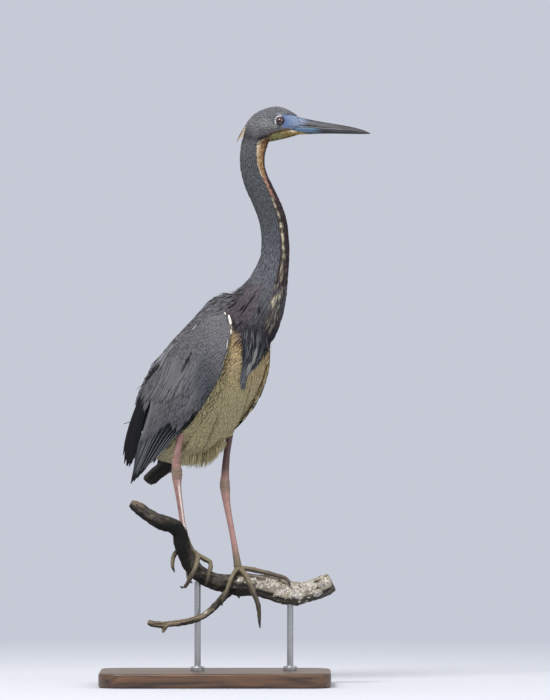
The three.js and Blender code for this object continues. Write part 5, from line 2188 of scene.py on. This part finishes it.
def perch_piece():
    nodes = ["perch_branch", "perch_twig"]
    bm = moulded(welded(nodes, 0.25), 1.15, 3)
    at, normals = places(bm)
    along, turn = along_perch(at)
    furrows = np.column_stack([along / 26, np.cos(turn) * 3.2, np.sin(turn) * 3.2])
    ridge = wander(furrows, 1.0, 51)
    rough = wander(at, 5.0, 52)
    fine = wander(at, 2.0, 53)
    feet = np.min([np.linalg.norm(at - ball, axis=1) for ball in BALLS.values()], axis=0)
    depth = 0.9 * np.minimum(ridge, 0.25) + 0.7 * rough + 0.25 * fine - 0.35
    at = at + normals * (depth * (0.35 + 0.65 * ease(14, 40, feet)))[:, None]
    put(bm, at)
    bark_surface = surface_of(bm.copy())
    right = ease(20, 80, at[:, 0]) * (at[:, 2] > 100)
    twig = ease(100, 85, at[:, 2])
    colour = mix(BARK, BARK_GREY, 0.8 * right)
    colour = mix(colour, TWIG_BROWN, twig)
    colour = mix(colour, BARK_DARK, ease(0.1, -0.45, ridge))
    colour = mix(colour, BARK_PALE, ease(0.1, 0.6, rough) * 0.6)
    # Painted shade: bark that faces downwards is darker, and the upright part on the left nearly black, as
    # in shadow.
    shaded = ease(0.25, -0.55, normals[:, 2])
    upright = ease(-22, -38, at[:, 0]) * ease(214, 200, at[:, 2]) * (1 - twig)
    colour = mix(colour, BARK_SHADE, np.maximum(0.75 * shaded, 0.97 * upright))
    colour = mix(colour, LICHEN, 0.9 * lichen_share(at))
    colour = mix(colour, BROKEN, 0.85 * ease(-86, -94, at[:, 0]) * ease(0.1, 0.9, fine + normals[:, 2]))
    marked("perch", bm, colour, COATS["bark"], nodes)
    return bark_surface


def lichen_piece(perch):
    """Crusts and small leaves of lichen, in patches, most of them on the right half of the branch."""
    rng = np.random.default_rng(111)
    roots = roots_on(perch, np.where(lichen_share(perch.centres) > 0.5, 2.4, 0), 112)
    at, normal = perch.settle(roots)
    n = len(at)
    way = unit(np.cross(normal, unit(rng.normal(0, 1, (n, 3)))))
    t = np.linspace(-1, 1, 5)[None, :, None]
    size = rng.uniform(0.7, 2.0, n)
    line = at[:, None] + way[:, None] * t * size[:, None, None] * 0.9
    line = line + normal[:, None] * (0.25 - 0.5 * t**2 + rng.normal(0, 0.15, (n, 5, 1)))
    tint = ease(-0.2, 0.5, wander(at, 9.0, 113))
    colour = mix(LICHEN, LICHEN_TAN, 0.6 * tint) * rng.uniform(0.45, 1.1, (n, 1))
    coat = Coat()
    coat.add(
        line, np.repeat(normal[:, None], 5, axis=1), size * 1.7, "round", colour,
        np.column_stack([rng.random(n), rng.random(n)]), across=5, thick=0.5, camber=0.05,
        roll=rng.normal(0, 0.2, n),
    )
    return coated("lichen", coat, "bark")


# ---- stand

BASE = {"length": 290, "depth": 190, "height": 18, "corner": 30, "edge": 3}
ROD = {"radius": 4, "collar": 9, "collar_height": 6}


def rounded(bm, edges, radius, segments):
    bmesh.ops.bevel(
        bm, geom=edges, offset=radius * MM, segments=segments, profile=0.5,
        affect="EDGES", material=-1,
    )


def base_piece():
    bm = bmesh.new()
    bmesh.ops.create_cube(bm, size=1)
    size = (BASE["length"], BASE["depth"], BASE["height"])
    bmesh.ops.scale(bm, vec=[s * MM for s in size], verts=bm.verts)
    bmesh.ops.translate(bm, vec=(0, 0, BASE["height"] * MM / 2), verts=bm.verts)
    upright = [e for e in bm.edges if abs(e.verts[0].co.z - e.verts[1].co.z) > MM]
    rounded(bm, upright, BASE["corner"], 14)
    rims = [e for e in bm.edges if abs(e.verts[0].co.z - e.verts[1].co.z) < 0.1 * MM]
    rounded(bm, rims, BASE["edge"], 5)
    mesh = from_bmesh("stand_base_wood", bm)
    mesh.set_sharp_from_angle(angle=math.radians(40))
    return finished("stand_base_wood", mesh, wood_finish(), ["stand_base"])


def rod_piece(number, material):
    low, high = (np.array(corner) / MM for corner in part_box(f"stand_rod_{number}"))
    middle = (low + high) / 2
    foot, top = low[2], high[2]
    shoulder = foot + ROD["collar_height"]
    profile = [
        (0, foot),
        (ROD["collar"], foot),
        (ROD["collar"], foot + 0.6 * ROD["collar_height"]),
        (ROD["collar"] - 1.2, shoulder - 0.8),
        (ROD["radius"] + 0.6, shoulder),
        (ROD["radius"], shoulder + 0.6),
        (ROD["radius"], top),
        (0, top),
    ]
    bm = bmesh.new()
    verts = [bm.verts.new(((middle[0] + r) * MM, middle[1] * MM, z * MM)) for r, z in profile]
    edges = [bm.edges.new(pair) for pair in zip(verts, verts[1:])]
    bmesh.ops.spin(
        bm, geom=verts + edges, cent=(middle[0] * MM, middle[1] * MM, 0), axis=(0, 0, 1),
        angle=2 * math.pi, steps=40, use_merge=True,
    )
    bmesh.ops.remove_doubles(bm, verts=bm.verts, dist=1e-6)
    bmesh.ops.recalc_face_normals(bm, faces=bm.faces)
    name = f"stand_rod_{number}_steel"
    mesh = from_bmesh(name, bm)
    mesh.set_sharp_from_angle(angle=math.radians(35))
    return finished(name, mesh, material, [f"stand_rod_{number}"])


# ---- stage, light and camera

SKY = paint(198, 202, 214)
ABOVE = paint(255, 255, 255)
BELOW = paint(120, 122, 126)
FLOOR = paint(200, 203, 212)
FRAME_MIDDLE = (75, 420)  # X and Z at the middle of the view
VIEW_HEIGHT = 875
CAMERA_BACK = 9700
BIRD_NEARER = 25  # how far in front of the origin's plane the bird's middle is
SENSOR = 36.0
# In metres: the floor's radius, how far below the stand it lies, where it fades, and the lamps' aim.
FLOOR_RADIUS = 1.7
FLOOR_DROP = 0.0004
FLOOR_FADE = (0.45, 1.6)
LAMP_AIM = (0.0, 0.0, 0.42)


def stage():
    material, tree, shader = finish("stage_floor", {"Roughness": 0.9, "Specular IOR Level": 0.1})
    where = add(tree, "TexCoord").outputs["Object"]
    reach = add(tree, "VectorMath", {0: where}, operation="LENGTH").outputs["Value"]
    near, far = FLOOR_FADE
    shown = add(tree, "MapRange", {0: reach, 1: near, 2: far, 3: 1.0, 4: 0.0}).outputs[0]
    colour = scaled(tree, (*FLOOR,), ranged(tree, grain(tree, 40), 0.98, 1.02))
    tree.links.new(colour, shader.inputs["Base Color"])
    tree.links.new(shown, shader.inputs["Alpha"])
    bm = bmesh.new()
    bmesh.ops.create_circle(bm, cap_ends=True, segments=96, radius=FLOOR_RADIUS)
    bmesh.ops.translate(bm, vec=(0, 0, -FLOOR_DROP), verts=bm.verts)
    floor = bpy.data.objects.new("floor", from_bmesh("floor", bm, smooth=False))
    bpy.context.scene.collection.objects.link(floor)
    floor.data.materials.append(material)


def lamp(name, at, size, watts, colour=(1, 1, 1)):
    light = bpy.data.lights.new(name, "AREA")
    light.shape = "DISK"
    light.size = size
    light.energy = watts
    light.color = colour
    holder = bpy.data.objects.new(name, light)
    bpy.context.scene.collection.objects.link(holder)
    holder.location = at
    aim = Vector(LAMP_AIM) - Vector(at)
    holder.rotation_euler = aim.to_track_quat("-Z", "Y").to_euler()


def sky():
    """An even pale sky to look at, which lights the model from above more than from below."""
    world = bpy.data.worlds.new("studio")
    world.use_nodes = True
    tree = world.node_tree
    tree.nodes.clear()
    way = add(tree, "TexCoord").outputs["Generated"]
    height = add(tree, "SeparateXYZ", {0: way}).outputs[2]
    share = add(tree, "MapRange", {0: height, 1: -1.0, 2: 1.0}).outputs[0]
    light = ramped(tree, share, (0.25, BELOW * 0.5), (0.8, ABOVE))
    lit = add(tree, "Background", {"Color": light, "Strength": 0.95})
    seen = add(tree, "Background", {"Color": (*SKY, 1), "Strength": 1.0})
    camera_ray = add(tree, "LightPath").outputs["Is Camera Ray"]
    both = add(tree, "MixShader", {0: camera_ray, 1: lit.outputs[0], 2: seen.outputs[0]})
    output = add(tree, "OutputWorld")
    tree.links.new(both.outputs[0], output.inputs[0])
    bpy.context.scene.world = world


def studio():
    scene = bpy.context.scene
    sky()
    lamp("key", (-1.2, -2.4, 3.2), 1.3, 125, (1.0, 0.98, 0.95))
    lamp("fill", (2.4, -2.2, 1.6), 1.8, 22, (0.94, 0.97, 1.0))
    scene.view_settings.view_transform = "Standard"
    camera = bpy.data.cameras.new("camera")
    camera.sensor_width = SENSOR
    camera.lens = SENSOR * (CAMERA_BACK - BIRD_NEARER) / VIEW_HEIGHT
    camera.clip_end = 100
    holder = bpy.data.objects.new("camera", camera)
    scene.collection.objects.link(holder)
    holder.location = (FRAME_MIDDLE[0] * MM, -CAMERA_BACK * MM, FRAME_MIDDLE[1] * MM)
    holder.rotation_euler = (math.pi / 2, 0, 0)
    scene.camera = holder


# ---- the whole model

studio()
stage()
COATS = {
    "fine": coat_finish("fine_feathers", 0.07),
    "soft": coat_finish("soft_feathers", 0.04, roughness=0.8, sheen=0.1, relief=0.06),
    "vane": coat_finish("vaned_feathers", 0.07, barbs=20.0, sheen=0.0, relief=0.2),
    "bark": bark_finish(),
}
WING_SURFACE = wing_surface()
shape = flesh_surface(False)
BODY = surface_of(shape)
shape.free()
BODY.covered = under_wing(BODY)
shape = flesh_surface(True)
skin_piece(shape)
OUTER = surface_of(shape)
shape.free()

head_coat()
neck_coat(560, 677, "neck_feathers_upper", 21)
neck_coat(425, 560, "neck_feathers_lower", 25)
lower_neck_plumes()
belly_coat()
back_coat()
thigh_coat()
lining_coat()
wing_pieces(WING_SURFACE)
tail_piece()
nape_piece()
breast_tuft()

horn = bill_finish()
bill_piece("bill_upper", True, horn)
bill_piece("bill_lower", False, horn)
glass = eye_finish()
scales = leg_finish()
dark_horn = claw_finish()
for side_name, side_sign in (("right", -1), ("left", 1)):
    eye_piece(side_sign, side_name, glass)
    leg_piece(side_name, scales)
    claw_piece(side_name, dark_horn)

lichen_piece(perch_piece())
base_piece()
steel = steel_finish()
for rod_number in (1, 2):
    rod_piece(rod_number, steel)
